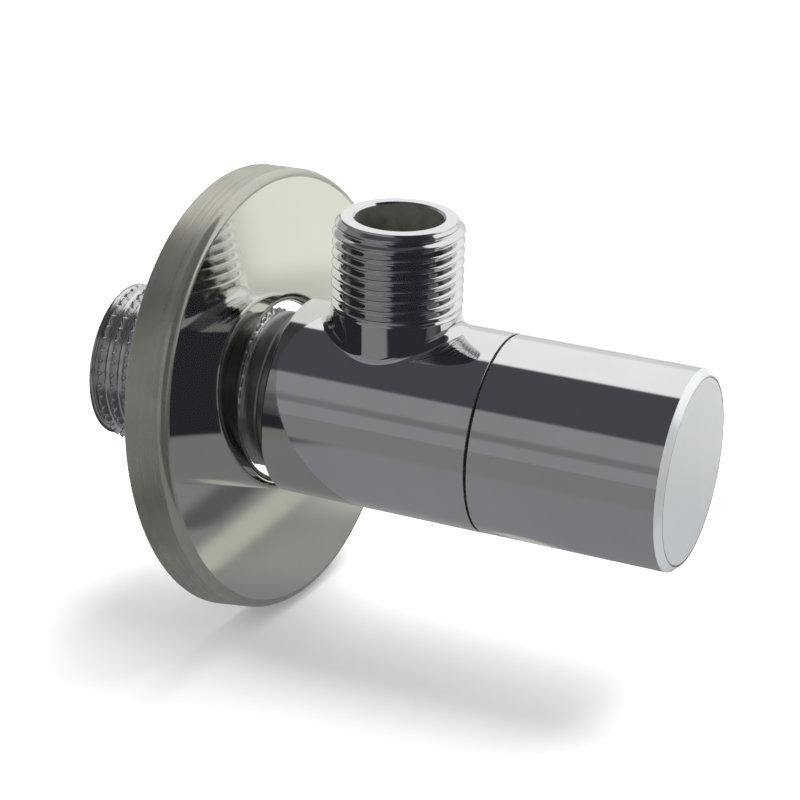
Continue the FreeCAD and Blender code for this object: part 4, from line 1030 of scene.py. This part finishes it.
class VALVE_OT_studio(bpy.types.Operator):
    """Make the floor, the reflected studio, the world, the lamp and the camera"""
    bl_idname = "valve.studio"
    bl_label = "Studio"

    def execute(self, context):
        studio = context.scene.valve.studio
        ground = CAD_BOX[0][2]
        self.make_floor(studio, ground)
        self.make_dome(studio, ground)
        self.make_world(context.scene, studio)
        self.make_lamp(context.scene, studio)
        self.make_camera(context.scene, studio)
        context.scene.view_settings.view_transform = "Standard"
        return {"FINISHED"}

    def make_floor(self, studio, ground):
        """A pale round floor at the object's lowest point. The metal sees the studio's glow in it."""
        radius = np.concatenate([[0.0], np.geomspace(FIRST_RING, studio.floor_radius, FLOOR_RINGS)])
        path = (np.stack([radius, np.zeros_like(radius)], -1), np.tile((0.0, 1.0), (len(radius), 1)))
        material, tree = bare_material("Pale floor")
        output, paint, lift, glow, shown, rays, seen, both, mix = new_nodes(
            tree, "OutputMaterial", "BsdfDiffuse", "Emission", "Attribute", "Emission", "LightPath",
            "Math", "AddShader", "MixShader")
        paint.inputs["Color"].default_value = (*studio.floor_colour, 1.0)
        glow.attribute_name = "glow"
        seen.operation = "MULTIPLY"
        seen.inputs[1].default_value = studio.floor_lift
        join_nodes(tree, (glow.outputs["Color"], shown.inputs["Color"]),
                   (rays.outputs["Is Camera Ray"], seen.inputs[0]),
                   (seen.outputs["Value"], lift.inputs["Strength"]),
                   (paint.outputs["BSDF"], both.inputs[0]), (lift.outputs["Emission"], both.inputs[1]),
                   (rays.outputs["Is Glossy Ray"], mix.inputs["Fac"]),
                   (both.outputs["Shader"], mix.inputs[1]), (shown.outputs["Emission"], mix.inputs[2]),
                   (mix.outputs["Shader"], output.inputs["Surface"]))
        floor = add_object("studio_floor", [
            turned(path, upright_axis((0, 0, ground)), full_circle(FLOOR_COLUMNS))], [material])
        glow_attribute(floor, floor_glow(mesh_points(floor), studio))

    def make_dome(self, studio, ground):
        """A half sphere of soft boxes and dark cloth that only the metal sees."""
        rise = np.linspace(0.0, math.pi / 2, DOME_ROWS + 1)
        points = studio.dome_radius * np.stack([np.cos(rise), np.sin(rise)], -1)
        material, tree = bare_material("Studio glow")
        output, glow, light = new_nodes(tree, "OutputMaterial", "Attribute", "Emission")
        glow.attribute_name = "glow"
        join_nodes(tree, (glow.outputs["Color"], light.inputs["Color"]),
                   (light.outputs["Emission"], output.inputs["Surface"]))
        path = (points, -unit(points))
        dome = add_object("studio_dome", [
            turned(path, upright_axis((0, 0, ground)), full_circle(DOME_COLUMNS))], [material])
        direction = unit(mesh_points(dome) - (0, studio.dome_middle, 0))
        glow_attribute(dome, dome_glow(direction, studio))
        for kind in ("camera", "diffuse", "transmission", "volume_scatter", "shadow"):
            setattr(dome, "visible_" + kind, False)

    def make_world(self, scene, studio):
        """Even pale light from all round; white where a camera or a reflected ray meets it."""
        world = bpy.data.worlds.new("Studio")
        world.use_nodes = True
        tree = world.node_tree
        background = tree.nodes["Background"]
        rays, seen, through, strength = new_nodes(tree, "LightPath", "Math", "Math", "MapRange")
        seen.operation = through.operation = "MAXIMUM"
        strength.inputs["To Min"].default_value = studio.world_level
        strength.inputs["To Max"].default_value = 1.0
        join_nodes(tree, (rays.outputs["Is Camera Ray"], seen.inputs[0]),
                   (rays.outputs["Is Glossy Ray"], seen.inputs[1]),
                   (seen.outputs["Value"], through.inputs[0]),
                   (rays.outputs["Is Transmission Ray"], through.inputs[1]),
                   (through.outputs["Value"], strength.inputs["Value"]),
                   (strength.outputs["Result"], background.inputs["Strength"]))
        background.inputs["Color"].default_value = (1.0, 1.0, 1.0, 1.0)
        scene.world = world

    def make_lamp(self, scene, studio):
        """A large soft lamp high on the outlet's right."""
        light = bpy.data.lights.new("soft_lamp", "AREA")
        light.shape = "SQUARE"
        light.size = studio.lamp_size
        light.energy = studio.lamp_watts
        lamp = bpy.data.objects.new("soft_lamp", light)
        place = Vector(studio.lamp_place)
        turn = place.to_track_quat("Z", "Y").to_matrix().to_4x4()
        lamp.matrix_world = Matrix.Translation(place) @ turn
        lamp.visible_glossy = False
        lamp.visible_camera = False
        scene.collection.objects.link(lamp)

    def make_camera(self, scene, studio):
        """The camera, turned by its azimuth, its elevation and its roll."""
        a, e, r = studio.azimuth, studio.elevation, studio.roll
        back = Vector((math.sin(a) * math.cos(e), -math.cos(a) * math.cos(e), math.sin(e)))
        right = Vector((math.cos(a), math.sin(a), 0.0))
        up = back.cross(right)
        turned_right = math.cos(r) * right + math.sin(r) * up
        turned_up = math.cos(r) * up - math.sin(r) * right
        data = bpy.data.cameras.new("photo_camera")
        data.lens = studio.lens
        data.clip_start = 0.01
        camera = bpy.data.objects.new("photo_camera", data)
        turn = Matrix((turned_right, turned_up, back)).transposed().to_4x4()
        camera.matrix_world = Matrix.Translation(studio.camera_place) @ turn
        scene.collection.objects.link(camera)
        scene.camera = camera


OPERATORS = (VALVE_OT_body, VALVE_OT_outlet, VALVE_OT_inlet, VALVE_OT_rosette, VALVE_OT_knob,
             VALVE_OT_inner_finishes, VALVE_OT_studio)


class VALVE_PT_sidebar(bpy.types.Panel):
    """Lists the valve's pieces and their sizes"""
    bl_idname = "VALVE_PT_sidebar"
    bl_label = "Angle valve"
    bl_space_type = "VIEW_3D"
    bl_region_type = "UI"
    bl_category = "Angle valve"

    def draw(self, context):
        settings = context.scene.valve
        for operator in OPERATORS:
            self.layout.operator(operator.bl_idname)
        for group in (settings.body, settings.outlet, settings.inlet, settings.rosette, settings.knob,
                      settings.finishes, settings.studio):
            box = self.layout.box()
            for key in type(group).__annotations__:
                box.prop(group, key)


CLASSES = (BodySizes, OutletSizes, InletSizes, RosetteSizes, KnobSizes, Finishes, StudioSizes,
           ValveSettings) + OPERATORS + (VALVE_PT_sidebar,)


def register():
    """Registers the classes and puts the settings on the scene."""
    for each in CLASSES:
        bpy.utils.register_class(each)
    bpy.types.Scene.valve = PointerProperty(type=ValveSettings)


def unregister():
    """Takes the settings and the classes away again."""
    del bpy.types.Scene.valve
    for each in reversed(CLASSES):
        bpy.utils.unregister_class(each)


def main():
    """Makes every piece and the studio."""
    register()
    bpy.ops.valve.body()
    bpy.ops.valve.outlet()
    bpy.ops.valve.inlet()
    bpy.ops.valve.rosette()
    bpy.ops.valve.knob()
    bpy.ops.valve.inner_finishes()
    bpy.ops.valve.studio()


if __name__ == "__main__":
    main()
